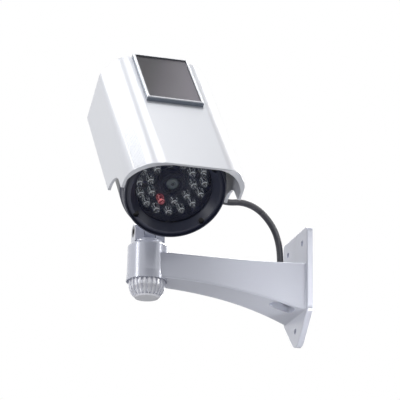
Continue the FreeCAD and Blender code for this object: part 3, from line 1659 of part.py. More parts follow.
def cord_path(route):
    """Straight runs joined by arcs as large as the two runs at each point allow."""
    edges, start, radii = [], route[0], []
    for before, corner, after in zip(route, route[1:], route[2:]):
        to_before = (before - corner).normalize()
        to_after = (after - corner).normalize()
        half_turn = (math.pi - to_before.getAngle(to_after)) / 2
        trim = 0.45 * min(before.distanceToPoint(corner), after.distanceToPoint(corner))
        radius = trim / math.tan(half_turn)
        radii.append(radius)
        first, last = corner + to_before * trim, corner + to_after * trim
        centre = corner + (to_before + to_after).normalize() * (radius / math.cos(half_turn))
        middle = centre + (corner - centre).normalize() * radius
        edges.append(Part.LineSegment(start, first).toShape())
        edges.append(Part.Arc(first, middle, last).toShape())
        start = last
    edges.append(Part.LineSegment(start, route[-1]).toShape())
    return Part.Wire(edges), radii


def make_cord():
    """The cord as one tube along its route."""
    route = cord_route()
    path, radii = cord_path(route)
    radius = float(cord_radius)
    section = Part.Wire(Part.makeCircle(radius, route[0], route[1] - route[0]))
    tube = path.makePipeShell([section], True, False)
    expected = math.pi * radius**2 * path.Length
    print("cord radii", [round(value, 1) for value in radii], "length", round(path.Length, 1))
    print("cord volume over section times length", round(tube.Volume / expected, 4))
    item = document.addObject("Part::Feature", "cord_tube")
    item.Shape = tube
    keep("cord", item)


# ---------------------------------------------------------------- build
def write_parts():
    """Check every object of the document, then write one STEP file for each sub-part."""
    document.recompute()
    for item in document.Objects:
        assert not {"Invalid", "Error"} & set(item.State), f"{item.Name} failed: {item.State}"
    os.makedirs("parts", exist_ok=True)
    for node, item in parts.items():
        shape = item.Shape
        assert not shape.isNull() and shape.isValid(), f"{node} has no valid shape"
        assert shape.Solids, f"{node} holds no solid"
        shape.exportStep(os.path.join("parts", f"{node}.step"))
        print(node, len(shape.Solids), round(shape.Volume, 1))


make_wall_bracket()
make_arm_grommet()
make_swivel_clevis()
make_tilt_bolt()
make_stack()
make_clamp_knob()
make_head_foot()
make_foot_screws()
make_housing_barrel()
make_cord_gland()
make_rear_cap()
make_front_bezel()
make_window()
make_lamp_board()
make_lamps()
make_lens()
make_battery()
make_hood()
make_hood_fixings()
make_solar_panel()
make_cord()
write_parts()
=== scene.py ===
"""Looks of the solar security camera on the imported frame: finishes, fine pieces, lights and camera."""

from __future__ import annotations

import logging
import math
from abc import ABC, abstractmethod
from dataclasses import dataclass, field
from enum import Enum
from typing import Iterable, Mapping, Sequence

import bmesh
import bpy
from mathutils import Matrix, Vector


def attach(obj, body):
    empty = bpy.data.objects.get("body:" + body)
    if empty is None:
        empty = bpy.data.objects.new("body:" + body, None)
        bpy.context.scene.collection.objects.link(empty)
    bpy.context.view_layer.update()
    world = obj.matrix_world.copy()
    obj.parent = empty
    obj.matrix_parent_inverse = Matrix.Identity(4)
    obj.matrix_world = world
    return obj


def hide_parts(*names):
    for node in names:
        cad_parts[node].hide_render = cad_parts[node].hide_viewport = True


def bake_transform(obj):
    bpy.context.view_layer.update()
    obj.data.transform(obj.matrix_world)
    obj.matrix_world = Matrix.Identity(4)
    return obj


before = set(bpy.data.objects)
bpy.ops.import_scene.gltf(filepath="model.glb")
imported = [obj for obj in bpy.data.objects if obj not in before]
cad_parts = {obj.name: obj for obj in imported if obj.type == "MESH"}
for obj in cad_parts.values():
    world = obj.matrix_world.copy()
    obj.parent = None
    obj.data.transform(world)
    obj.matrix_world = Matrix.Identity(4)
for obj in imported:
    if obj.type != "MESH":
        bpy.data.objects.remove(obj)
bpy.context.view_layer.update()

log = logging.getLogger("solar_camera")

Colour = tuple[float, float, float]
Point = tuple[float, float, float]

# the colour sockets of a Mix node, by number
MIX_LOW, MIX_HIGH, MIX_RESULT = 6, 7, 2

GLASS_INDEX = 1.5


# ------------------------------------------------------------------ the head's frame


@dataclass(frozen=True)
class HeadPose:
    """Where the head's own frame stands at rest."""

    tilt: float = math.radians(48)
    pivot: Point = (0.0, -0.121, 0.035)
    ahead: float = 0.045
    rise: float = 0.061

    @property
    def origin(self) -> Vector:
        """Middle of the bezel's front face."""
        forward = Vector((math.cos(self.tilt), 0, -math.sin(self.tilt)))
        upward = Vector((math.sin(self.tilt), 0, math.cos(self.tilt)))
        return Vector(self.pivot) + forward * self.ahead + upward * self.rise

    @property
    def matrix(self) -> Matrix:
        """Carries the head's own coordinates into the row frame."""
        return Matrix.Translation(self.origin) @ Matrix.Rotation(self.tilt, 4, "Y")


HEAD = HeadPose()


# ------------------------------------------------------------------ shader maths


class Signal:
    """One shader socket, whose arithmetic adds Math nodes to its material."""

    def __init__(self, shop: "NodeShop", socket: bpy.types.NodeSocket) -> None:
        """Wrap an output socket.

        Args:
            shop: maker of the material's nodes.
            socket: the output to wrap.
        """
        self.shop = shop
        self.socket = socket

    def _math(self, operation: str, *values: "Signal | float") -> "Signal":
        """Add one Math node.

        Args:
            operation: the node's operation.
            values: signals or numbers in socket order.

        Returns:
            The node's result.
        """
        made = self.shop.node("ShaderNodeMath", {"operation": operation}, dict(enumerate(values)))
        return Signal(self.shop, made.outputs[0])

    def __add__(self, other: "Signal | float") -> "Signal":
        """Sum with a signal or number."""
        return self._math("ADD", self, other)

    def __sub__(self, other: "Signal | float") -> "Signal":
        """Difference with a signal or number."""
        return self._math("SUBTRACT", self, other)

    def __mul__(self, other: "Signal | float") -> "Signal":
        """Product with a signal or number."""
        return self._math("MULTIPLY", self, other)

    def __truediv__(self, other: "Signal | float") -> "Signal":
        """Quotient with a signal or number."""
        return self._math("DIVIDE", self, other)

    def __pow__(self, other: float) -> "Signal":
        """Raise to a power."""
        return self._math("POWER", self, other)

    def __abs__(self) -> "Signal":
        """Size without sign."""
        return self._math("ABSOLUTE", self)

    def larger(self, other: "Signal | float") -> "Signal":
        """The larger of this and another value."""
        return self._math("MAXIMUM", self, other)

    def smaller(self, other: "Signal | float") -> "Signal":
        """The smaller of this and another value."""
        return self._math("MINIMUM", self, other)

    def wave(self) -> "Signal":
        """Sine of the signal."""
        return self._math("SINE", self)

    def angle_to(self, other: "Signal") -> "Signal":
        """Angle of the point (this, other) around the origin."""
        return self._math("ARCTAN2", other, self)

    def stretch(self, low: float, high: float) -> "Signal":
        """Map a range smoothly onto 0 to 1.

        Args:
            low: value that gives 0.
            high: value that gives 1.

        Returns:
            The mapped signal.
        """
        made = self.shop.node(
            "ShaderNodeMapRange",
            {"interpolation_type": "SMOOTHSTEP"},
            {"Value": self, "From Min": low, "From Max": high},
        )
        return Signal(self.shop, made.outputs[0])


class NodeShop:
    """Maker of every node in one material or world."""

    def __init__(self, owner: bpy.types.Material | bpy.types.World) -> None:
        """Empty the owner's tree and keep it.

        Args:
            owner: the material or world to fill.
        """
        owner.use_nodes = True
        self.tree = owner.node_tree
        self.tree.nodes.clear()

    def node(
        self,
        kind: str,
        settings: Mapping[str, object] | None = None,
        inputs: Mapping[str | int, object] | None = None,
    ) -> bpy.types.Node:
        """Add one node.

        Args:
            kind: the node's type.
            settings: properties set before the sockets.
            inputs: values or signals by socket name or number.

        Returns:
            The new node.
        """
        made = self.tree.nodes.new(kind)
        for name, wanted in (settings or {}).items():
            setattr(made, name, wanted)
        for name, wanted in (inputs or {}).items():
            if isinstance(wanted, Signal):
                self.tree.links.new(wanted.socket, made.inputs[name])
            else:
                made.inputs[name].default_value = wanted
        return made

    def signal(self, kind: str, output: str | int = 0, **words: Mapping) -> Signal:
        """Add a node and wrap one of its outputs.

        Args:
            kind: the node's type.
            output: name or number of the output.
            words: settings and inputs of the node.

        Returns:
            The wrapped output.
        """
        return Signal(self, self.node(kind, **words).outputs[output])

    def vector_math(self, operation: str, vector: Signal, by: Point) -> Signal:
        """Add one Vector Math node with a constant on its right.

        Args:
            operation: the node's operation.
            vector: the signal on the left.
            by: the constant.

        Returns:
            The resulting vector.
        """
        return self.signal(
            "ShaderNodeVectorMath", settings={"operation": operation}, inputs={0: vector, 1: by}
        )

    def place(self) -> Signal:
        """Coordinates on the object, in metres."""
        return self.signal("ShaderNodeTexCoord", "Object")

    def head_place(self) -> Signal:
        """Coordinates in the head's own frame, in metres."""
        return self._tilted(self.vector_math("SUBTRACT", self.place(), tuple(HEAD.origin)))

    def head_normal(self) -> Signal:
        """The surface's direction in the head's own frame."""
        return self._tilted(self.signal("ShaderNodeTexCoord", "Normal"))

    def _tilted(self, vector: Signal) -> Signal:
        """Turn a vector of the row frame into the head's own frame."""
        return self.signal(
            "ShaderNodeVectorRotate",
            settings={"rotation_type": "Y_AXIS"},
            inputs={"Vector": vector, "Angle": -HEAD.tilt},
        )

    def noise(self, where: Signal, scale: float, detail: float = 2.0, roughness: float = 0.5) -> Signal:
        """Smooth noise around 0.5.

        Args:
            where: coordinates.
            scale: features per metre.
            detail: octaves.
            roughness: strength of the finer octaves.

        Returns:
            The noise value.
        """
        return self.signal(
            "ShaderNodeTexNoise",
            inputs={"Vector": where, "Scale": scale, "Detail": detail, "Roughness": roughness},
        )

    def axes(self, where: Signal) -> tuple[Signal, Signal, Signal]:
        """Split coordinates into their three values."""
        made = self.node("ShaderNodeSeparateXYZ", inputs={0: where})
        return tuple(Signal(self, output) for output in made.outputs)

    def mix(self, factor: Signal | float, low: Signal | Colour, high: Signal | Colour) -> Signal:
        """Blend two colours.

        Args:
            factor: 0 for low, 1 for high.
            low: a colour or colour signal.
            high: a colour or colour signal.

        Returns:
            The blended colour.
        """
        ends = {
            MIX_LOW: low if isinstance(low, Signal) else (*low, 1.0),
            MIX_HIGH: high if isinstance(high, Signal) else (*high, 1.0),
        }
        made = self.node("ShaderNodeMix", {"data_type": "RGBA"}, {0: factor, **ends})
        return Signal(self, made.outputs[MIX_RESULT])

    def bump(self, height: Signal, depth: float) -> Signal:
        """A normal from a height signal.

        Args:
            height: heights around 0 to 1.
            depth: metres for a height of 1.

        Returns:
            The bent normal.
        """
        return self.signal("ShaderNodeBump", inputs={"Height": height, "Distance": depth, "Strength": 1.0})

    def round_places(self) -> tuple[Signal, Signal]:
        """Distance from the head's axis and angle around it.

        Returns:
            The distance in metres and the angle in radians.
        """
        _, across, up = self.axes(self.head_place())
        return (across * across + up * up) ** 0.5, across.angle_to(up)


# ------------------------------------------------------------------ finishes


@dataclass(frozen=True)
class Weave:
    """Two noises of a micro-surface, each as features per metre, octaves and strength of the finer ones."""

    relief: tuple[float, float, float]
    speckle: tuple[float, float, float]
    sharpened: tuple[float, float] | None = None
    crowding: Point = (1, 1, 1)


class Grain(Enum):
    """Named micro-surfaces of the object's pieces."""

    SPRAYED = Weave((620.0, 2.0, 0.4), (5200.0, 1.0, 0.5), sharpened=(0.42, 0.62))
    MOULDED = Weave((1900.0, 2.0, 0.6), (900.0, 2.0, 0.5), sharpened=(0.35, 0.65))
    TURNED = Weave((900.0, 2.0, 0.5), (900.0, 2.0, 0.5), crowding=(1, 1, 14))
    RUBBER = Weave((2600.0, 3.0, 0.7), (340.0, 2.0, 0.5))


class Coating(ABC):
    """What all finishes share: a name and the making of the material."""

    name: str

    def material(self) -> bpy.types.Material:
        """Build the material.

        Returns:
            The finished material.
        """
        made = bpy.data.materials.new(self.name)
        shop = NodeShop(made)
        shader = shop.signal("ShaderNodeBsdfPrincipled", inputs=self.sockets(shop))
        shop.node("ShaderNodeOutputMaterial", inputs={"Surface": shader})
        made.diffuse_color = self.plain()
        return made

    @abstractmethod
    def sockets(self, shop: NodeShop) -> dict[str, object]:
        """What feeds the surface shader.

        Args:
            shop: maker of nodes.

        Returns:
            A value or signal for each socket that differs from its default.
        """

    @abstractmethod
    def plain(self) -> tuple[float, float, float, float]:
        """One colour and opacity that stand for the finish."""


@dataclass(frozen=True)
class Finish(Coating):
    """An opaque finish with its colour drift, sheen and fine grain, and where given a painted highlight on
    faces that turn up in the head's frame.
    """

    name: str
    colour: Colour
    shade: Colour
    roughness: float
    spread: float = 0.06
    metallic: float = 0.0
    coat: float = 0.0
    coat_roughness: float = 0.1
    grain: Grain = Grain.MOULDED
    depth: float = 0.00002
    drift: float = 18.0
    drift_share: float = 0.55
    smudge_crowding: float = 2.3
    lit_top: Colour | None = None
    lit_top_edge: tuple[float, float] = (0.6, 0.9)

    def sockets(self, shop: NodeShop) -> dict[str, object]:
        """What feeds the surface shader."""
        where = shop.place()
        height, speckle = self._grain(shop, where)
        drift = shop.noise(where, self.drift, 3.0).stretch(0.3, 0.7)
        tone = drift * self.drift_share + speckle * (1 - self.drift_share)
        colour = shop.mix(tone, self.shade, self.colour)
        # painted highlight: faces that turn up in the head's frame are made lighter
        if self.lit_top:
            _, _, upward = shop.axes(shop.head_normal())
            colour = shop.mix(upward.stretch(*self.lit_top_edge), colour, self.lit_top)
        smudges = shop.noise(where, self.drift * self.smudge_crowding, 4.0) - 0.5
        roughness = smudges * (2 * self.spread) + self.roughness
        return {
            "Base Color": colour,
            "Roughness": roughness + (speckle - 0.5) * self.spread,
            "Metallic": self.metallic,
            "Coat Weight": self.coat,
            "Coat Roughness": self.coat_roughness,
            "Normal": shop.bump(height, self.depth),
        }

    def plain(self) -> tuple[float, float, float, float]:
        """The finish's own colour, opaque."""
        return (*self.colour, 1.0)

    def _grain(self, shop: NodeShop, where: Signal) -> tuple[Signal, Signal]:
        """Height and speckle of the micro-surface.

        Args:
            shop: maker of nodes.
            where: coordinates in metres.

        Returns:
            The height signal and the speckle signal.
        """
        weave = self.grain.value
        crowded = shop.vector_math("MULTIPLY", where, weave.crowding)
        height = shop.noise(crowded, *weave.relief)
        speckle = shop.noise(crowded, *weave.speckle)
        if weave.sharpened:
            speckle = speckle.stretch(*weave.sharpened)
        return height, speckle


@dataclass(frozen=True)
class ClearFinish(Coating):
    """A clear or tinted pane that shows what lies behind it and mirrors more at a slant."""

    name: str
    tint: Colour
    cover: float
    slant: float = 0.5
    roughness: float = 0.03
    smear: float = 0.02
    haze_gain: float = 1.3
    haze_lift: float = 0.004
    haze_cover: float = 0.01

    def sockets(self, shop: NodeShop) -> dict[str, object]:
        """What feeds the surface shader."""
        smear = shop.noise(shop.place(), 60.0, 4.0, 0.6).stretch(0.35, 0.75)
        fresnel = shop.signal("ShaderNodeLayerWeight", "Fresnel", inputs={"Blend": 0.3})
        hazed = tuple(min(1.0, channel * self.haze_gain + self.haze_lift) for channel in self.tint)
        cover = fresnel * self.slant + smear * self.haze_cover + self.cover
        return {
            "Base Color": shop.mix(smear, self.tint, hazed),
            "Roughness": smear * self.smear + self.roughness,
            "Alpha": cover.smaller(1.0),
            "IOR": GLASS_INDEX,
        }

    def plain(self) -> tuple[float, float, float, float]:
        """The tint, as opaque as a pane that is faced."""
        return (*self.tint, self.cover)


@dataclass(frozen=True)
class Arc:
    """A painted highlight arc on a lamp's dome: its slope, where it fades across and its turn about the axis.
    """

    slope: float
    across: tuple[float, float]
    turn: float
    along: tuple[float, float]


@dataclass(frozen=True)
class ResinFinish(Coating):
    """Cast resin: clear where it is faced, with a painted highlight: a whitish rim along its turned-away
    edges and bright arcs, painted in its colour, opacity and glow.
    """

    name: str
    heart: Colour
    highlight_colour: Colour
    clear: float = 0.10
    highlight_cover: float = 0.85
    glow: Colour = (0.0, 0.0, 0.0)
    glint: Colour = (0.0, 0.0, 0.0)
    strength: float = 0.0
    arcs: tuple[Arc, ...] = (
        Arc(slope=0.50, across=(0.20, 0.07), turn=120.0, along=(0.1, 0.6)),
        Arc(slope=0.28, across=(0.16, 0.05), turn=-50.0, along=(0.3, 0.8)),
    )
    streaks: float = 3.0
    streak_turn: float = 0.7
    streak_strength: float = 0.8
    sparks: float = 1300.0

    def sockets(self, shop: NodeShop) -> dict[str, object]:
        """What feeds the surface shader."""
        cloud = shop.noise(shop.place(), 420.0).stretch(0.25, 0.75)
        turned = shop.signal("ShaderNodeLayerWeight", "Facing", inputs={"Blend": 0.5})
        # painted highlight: a whitish, more opaque rim where the dome turns away from the view
        painted_rim = turned.stretch(0.55, 0.9) * (cloud * 0.5 + 0.5)
        band = painted_rim.larger(self._painted_glints(shop)).smaller(1.0)
        return {
            "Base Color": shop.mix(band, self.heart, self.highlight_colour),
            "Roughness": cloud * 0.05 + 0.04,
            "Alpha": (band * (self.highlight_cover - self.clear) + self.clear).smaller(1.0),
            "IOR": GLASS_INDEX,
            "Coat Weight": 0.6,
            "Coat Roughness": 0.02,
            # painted glint glow on the highlight band; on the red lamp the glow colour between the bands is
            # its own light
            "Emission Color": shop.mix(band, self.glow, self.glint),
            "Emission Strength": self.strength,
        }

    def plain(self) -> tuple[float, float, float, float]:
        """The painted highlight colour, half clear."""
        return (*self.highlight_colour, 0.5)

    def _painted_glints(self, shop: NodeShop) -> Signal:
        """Painted highlight arcs, streaks and sparks on the dome, fixed to the dome by its own slopes.

        Args:
            shop: maker of nodes.

        Returns:
            1 on the arcs and 0 between them.
        """
        ahead, across, up = shop.axes(shop.head_normal())
        side = across.angle_to(up)
        # painted highlights: streaks round the dome's sides, arcs at set slopes and scattered sparks
        streak = (side * self.streaks + self.streak_turn).wave().stretch(0.86, 0.97)
        bright = abs(ahead).stretch(0.12, 0.04) * streak * self.streak_strength
        for arc in self.arcs:
            band = abs(ahead - arc.slope).stretch(*arc.across)
            reach = (side - math.radians(arc.turn) + math.pi / 2).wave().stretch(*arc.along)
            bright = bright.larger(band * reach)
        return bright.larger(shop.noise(shop.place(), self.sparks, 1.0).stretch(0.63, 0.66))


@dataclass(frozen=True)
class SolarFinish(Coating):
    """Thin dark film under glass: a painted reflection that lightens it across and along the panel, with
    random unevenness and hair-fine cell lines along it.
    """

    name: str
    dark: Colour = (0.034, 0.028, 0.042)
    light: Colour = (0.60, 0.56, 0.64)
    line: Colour = (0.50, 0.47, 0.55)
    half_width: float = 0.0197
    back: float = -0.1268
    length: float = 0.0684
    cells: int = 8
    reflection_across: float = 0.72
    reflection_along: float = 0.38
    reflection_start: float = 0.1
    unevenness: float = 0.12

    def sockets(self, shop: NodeShop) -> dict[str, object]:
        """What feeds the surface shader."""
        where = shop.head_place()
        along, across, _ = shop.axes(where)
        over = across / (2 * self.half_width) + 0.5
        down = (along - self.back) / self.length
        uneven = (shop.noise(where, 24.0, 1.0) - 0.5) * self.unevenness
        # painted reflection: the film gets lighter across and along the panel, with random unevenness
        tone = over * self.reflection_across + down * self.reflection_along - self.reflection_start + uneven
        pitch = 2 * self.half_width / self.cells
        cell_line = abs((across * (math.pi / pitch)).wave()).stretch(0.06, 0.0)
        fleck = shop.noise(where, 4200.0, 1.0).stretch(0.55, 0.75)
        base = shop.mix(tone.stretch(0.0, 1.0), self.dark, self.light)
        return {
            "Base Color": shop.mix(cell_line * 0.14 + fleck * 0.03, base, self.line),
            "Roughness": fleck * 0.08 + 0.30,
            "Coat Weight": 0.3,
            "Normal": shop.bump(cell_line, 0.00001),
        }

    def plain(self) -> tuple[float, float, float, float]:
        """The film's lightest colour, where the painted reflection is strongest, opaque."""
        return (*self.light, 1.0)


@dataclass(frozen=True)
class BoardFinish(Coating):
    """Circuit board lacquer over copper traces."""

    name: str
    lacquer: Colour = (0.008, 0.014, 0.026)
    trace: Colour = (0.012, 0.040, 0.046)
    pad: Colour = (0.10, 0.11, 0.12)
    pads_per_metre: float = 330.0
    copper: float = 0.00004

    def sockets(self, shop: NodeShop) -> dict[str, object]:
        """What feeds the surface shader."""
        cells = shop.signal(
            "ShaderNodeTexVoronoi",
            "Distance",
            settings={"distance": "CHEBYCHEV"},
            inputs={"Vector": shop.head_place(), "Scale": self.pads_per_metre},
        )
        trace = abs(cells - 0.3).stretch(0.06, 0.02)
        pad = cells.stretch(0.1, 0.05)
        return {
            "Base Color": shop.mix(pad, shop.mix(trace, self.lacquer, self.trace), self.pad),
            "Roughness": pad * -0.1 + 0.38,
            "Metallic": pad * 0.4,
            "Coat Weight": 0.1,
            "Normal": shop.bump(trace + pad, self.copper),
        }

    def plain(self) -> tuple[float, float, float, float]:
        """The lacquer, opaque."""
        return (*self.lacquer, 1.0)


@dataclass(frozen=True)
class LensFinish(Coating):
    """Coated lens glass: a dark pupil, a grey-green iris and a painted highlight ring around them, bright on
    one side.
    """

    name: str
    pupil: Colour = (0.060, 0.075, 0.078)
    coating: Colour = (0.27, 0.34, 0.35)
    flare: Colour = (0.56, 0.64, 0.65)
    radius: float = 0.005
    ring_at: float = 0.62
    ring_strength: float = 0.75
    flare_turn: float = 0.6

    def sockets(self, shop: NodeShop) -> dict[str, object]:
        """What feeds the surface shader."""
        away, turn = shop.round_places()
        rim = away / self.radius
        iris = rim.stretch(0.16, 0.34) * rim.stretch(0.99, 0.88)
        sector = (turn + self.flare_turn).wave().stretch(-0.2, 0.9)
        ring = abs(rim - self.ring_at).stretch(0.2, 0.04)
        glass = shop.mix(iris, self.pupil, self.coating)
        return {
            # painted highlight: a bright ring on one side of the lens
            "Base Color": shop.mix(ring * sector * self.ring_strength, glass, self.flare),
            "Roughness": rim * 0.05 + 0.04,
            "Coat Weight": 1.0,
            "Coat Roughness": 0.02,
        }

    def plain(self) -> tuple[float, float, float, float]:
        """The coating, opaque."""
        return (*self.coating, 1.0)


@dataclass(frozen=True)
class TurnedPlasticFinish(Coating):
    """Black plastic with concentric turning lines around the head's axis."""

    name: str
    colour: Colour = (0.014, 0.017, 0.028)
    worn: Colour = (0.050, 0.058, 0.080)
    pitch: float = 0.00055
    depth: float = 0.00006

    def sockets(self, shop: NodeShop) -> dict[str, object]:
        """What feeds the surface shader."""
        away, _ = shop.round_places()
        groove = (away * (2 * math.pi / self.pitch)).wave()
        speck = shop.noise(shop.place(), 1500.0)
        wear = groove.stretch(0.6, 1.0) * 0.4 + speck * 0.2
        return {
            "Base Color": shop.mix(wear, self.colour, self.worn),
            "Roughness": speck * 0.12 + 0.34,
            "Normal": shop.bump(groove * 0.5 + speck * 0.1, self.depth),
        }

    def plain(self) -> tuple[float, float, float, float]:
        """The plastic's own colour, opaque."""
        return (*self.colour, 1.0)


class Palette:
    """Every finish of the object, each made once."""

    def __init__(self) -> None:
        """Build the materials."""
        self.silver_paint = Finish(
            "silver_paint", (0.640, 0.662, 0.752), (0.612, 0.632, 0.720), 0.25, spread=0.015, metallic=0.14,
            coat=0.30, coat_roughness=0.22, grain=Grain.SPRAYED, depth=0.000012, drift=11.0,
        ).material()
        self.pearl_paint = Finish(
            "pearl_paint", (0.700, 0.720, 0.775), (0.690, 0.710, 0.765), 0.40, spread=0.010, metallic=0.10,
            coat=0.6, coat_roughness=0.30, grain=Grain.SPRAYED, depth=0.000001, drift=9.0,
        ).material()
        self.charcoal = Finish(
            "charcoal_coat", (0.023, 0.028, 0.057), (0.018, 0.023, 0.047), 0.42, coat=0.12,
            coat_roughness=0.35, grain=Grain.SPRAYED, depth=0.000035,
        ).material()
        self.knob_silver = Finish(
            "knob_silver", (0.88, 0.89, 0.95), (0.85, 0.86, 0.92), 0.20, spread=0.02, metallic=0.25, coat=0.5,
        ).material()
        self.black_plastic = Finish(
            "black_plastic", (0.016, 0.016, 0.018), (0.012, 0.012, 0.014), 0.42
        ).material()
        self.nylon = Finish("nylon", (0.62, 0.61, 0.57), (0.55, 0.54, 0.50), 0.5).material()
        self.steel = Finish(
            "screw_steel", (0.58, 0.58, 0.59), (0.46, 0.46, 0.48), 0.28, metallic=1.0, grain=Grain.TURNED
        ).material()
        self.black_steel = Finish(
            "black_steel", (0.10, 0.10, 0.11), (0.07, 0.07, 0.08), 0.34, metallic=0.9, grain=Grain.TURNED
        ).material()
        self.dark_screw = Finish(
            "dark_screw", (0.012, 0.012, 0.014), (0.008, 0.008, 0.010), 0.5, grain=Grain.TURNED
        ).material()
        self.brass = Finish(
            "insert_brass", (0.70, 0.50, 0.22), (0.58, 0.40, 0.16), 0.3, metallic=1.0, grain=Grain.TURNED
        ).material()
        self.cord_rubber = Finish(
            "cord_rubber", (0.052, 0.052, 0.064), (0.040, 0.040, 0.050), 0.42, coat=0.15, coat_roughness=0.35,
            grain=Grain.RUBBER, depth=0.00003,
        ).material()
        self.seal_rubber = Finish(
            "seal_rubber", (0.020, 0.020, 0.022), (0.014, 0.014, 0.016), 0.55,
            grain=Grain.RUBBER, depth=0.00004,
        ).material()
        self.cell_wrap = Finish(
            "cell_wrap", (0.08, 0.30, 0.16), (0.06, 0.25, 0.13), 0.25, coat=0.5
        ).material()
        self.frame_silver = Finish(
            "frame_silver", (0.24, 0.27, 0.32), (0.20, 0.23, 0.28), 0.26, metallic=0.35, grain=Grain.TURNED,
            # the frame's upward faces get a painted highlight
            lit_top=(0.76, 0.77, 0.81),
        ).material()
        self.smoked_pane = ClearFinish("smoked_pane", (0.018, 0.024, 0.072), 0.20, 0.35).material()
        self.cover_pane = ClearFinish("cover_pane", (0.05, 0.05, 0.06), 0.12, 0.45, 0.05).material()
        # the clear lamps are unlit: their highlight colour and glint glow are painted highlights
        self.clear_resin = ResinFinish(
            "clear_resin", (0.05, 0.06, 0.06), (0.74, 0.78, 0.80), glint=(0.80, 0.86, 0.90), strength=0.45
        ).material()
        # the red lamp is lit and glows red; its pinkish glint and highlight colour are painted highlights
        self.red_resin = ResinFinish(
            "red_resin", (0.45, 0.01, 0.01), (0.70, 0.36, 0.38), 0.30, 0.9,
            glow=(0.40, 0.01, 0.015), glint=(1.0, 0.42, 0.45), strength=0.6,
        ).material()
        self.red_die = ResinFinish(
            "red_die", (0.9, 0.05, 0.05), (0.9, 0.1, 0.1), 1.0, 1.0,
            glow=(1.0, 0.03, 0.04), glint=(1.0, 0.10, 0.12), strength=3.0,
        ).material()
        self.lamp_metal = Finish(
            "lamp_metal", (0.78, 0.78, 0.76), (0.60, 0.60, 0.58), 0.22, metallic=1.0, grain=Grain.TURNED
        ).material()
        self.lamp_die = Finish("lamp_die", (0.05, 0.045, 0.04), (0.02, 0.02, 0.02), 0.2, coat=0.5).material()
        self.turned_plastic = TurnedPlasticFinish("turned_plastic").material()
        self.solar_film = SolarFinish("solar_film").material()
        self.circuit = BoardFinish("circuit_board").material()
        self.lens_coat = LensFinish("lens_coat").material()


# ------------------------------------------------------------------ mesh making


class MeshBench:
    """Turns point lists into mesh objects."""

    @staticmethod
    def made(
        name: str, points: Iterable[Vector], faces: Iterable[Sequence[int]], smooth: bool = True
    ) -> bpy.types.Object:
        """Make an object from points and faces.

        Args:
            name: the piece's name.
            points: its corners in metres.
            faces: corner numbers of each face.
            smooth: whether faces shade smoothly.

        Returns:
            The new object, linked into the scene.
        """
        mesh = bpy.data.meshes.new(name)
        mesh.from_pydata([tuple(point) for point in points], [], [tuple(face) for face in faces])
        mesh.update()
        work = bmesh.new()
        work.from_mesh(mesh)
        bmesh.ops.recalc_face_normals(work, faces=work.faces)
        work.to_mesh(mesh)
        work.free()
        if smooth:
            mesh.shade_smooth()
        piece = bpy.data.objects.new(name, mesh)
        bpy.context.scene.collection.objects.link(piece)
        return piece

    @staticmethod
    def ring(count: int, radius: float, height: float, turn: float = 0.0) -> list[Vector]:
        """Points of a circle about X at a height along X.

        Args:
            count: number of points.
            radius: radius in metres.
            height: place along X.
            turn: angle of the first point.

        Returns:
            The points.
        """
        angles = [turn + 2 * math.pi * step / count for step in range(count)]
        return [Vector((height, radius * math.cos(angle), radius * math.sin(angle))) for angle in angles]

    @classmethod
    def lathe(cls, name: str, profile: Sequence[tuple[float, float]], count: int = 32) -> bpy.types.Object:
        """Turn a profile of (along X, radius) about X; a radius of 0 closes the end.

        Args:
            name: the piece's name.
            profile: place along X and radius of each ring.
            count: points on each ring.

        Returns:
            The new object.
        """
        points: list[Vector] = []
        rows: list[list[int]] = []
        for along, radius in profile:
            if radius == 0:
                rows.append([len(points)] * count)
                points.append(Vector((along, 0, 0)))
            else:
                rows.append(list(range(len(points), len(points) + count)))
                points.extend(cls.ring(count, radius, along))
        faces = []
        for low, high in zip(rows, rows[1:]):
            for step in range(count):
                after = (step + 1) % count
                face = [low[step], low[after], high[after], high[step]]
                faces.append(list(dict.fromkeys(face)))
        return cls.made(name, points, [face for face in faces if len(face) > 2])

    @classmethod
    def chip(cls, name: str, half: float) -> bpy.types.Object:
        """A small square tablet with chamfered top edges, lying on the plane X = 0.

        Args:
            name: the piece's name.
            half: half its width in metres.

        Returns:
            The new object.
        """
        shoulder, top = half * 0.7, half * 0.75
        rows = ((0.0, half), (shoulder, half), (half, top))
        points = [Vector((x, y * r, z * r)) for x, r in rows for y, z in ((-1, -1), (1, -1), (1, 1), (-1, 1))]
        faces: list[Sequence[int]] = [(3, 2, 1, 0), (8, 9, 10, 11)]
        for low in (0, 4):
            for step in range(4):
                after = (step + 1) % 4
                faces.append((low + step, low + after, low + 4 + after, low + 4 + step))
        return cls.made(name, points, faces, smooth=False)

    @classmethod
    def joined(cls, name: str, copies: Iterable[tuple[bpy.types.Object, Matrix]]) -> bpy.types.Object:
        """One object from placed copies of patterns.

        Args:
            name: the piece's name.
            copies: each pattern and where its copy goes.

        Returns:
            The new object.
        """
        points: list[Vector] = []
        faces: list[list[int]] = []
        smooth = True
        for pattern, put in copies:
            first = len(points)
            points.extend(put @ vertex.co for vertex in pattern.data.vertices)
            faces.extend([first + number for number in face.vertices] for face in pattern.data.polygons)
            smooth = pattern.data.polygons[0].use_smooth
        return cls.made(name, points, faces, smooth)


@dataclass
class Dressing:
    """Gives carried-over CAD nodes their finish."""

    palette: Palette

    def dress(self, material: bpy.types.Material, *nodes: str) -> None:
        """Assign a finish to CAD nodes.

        Args:
            material: the finish.
            nodes: the CAD nodes.
        """
        for name in nodes:
            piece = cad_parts[name]
            piece.data.materials.clear()
            piece.data.materials.append(material)
            log.info("dressed %s in %s", name, material.name)


# ------------------------------------------------------------------ sub-assemblies


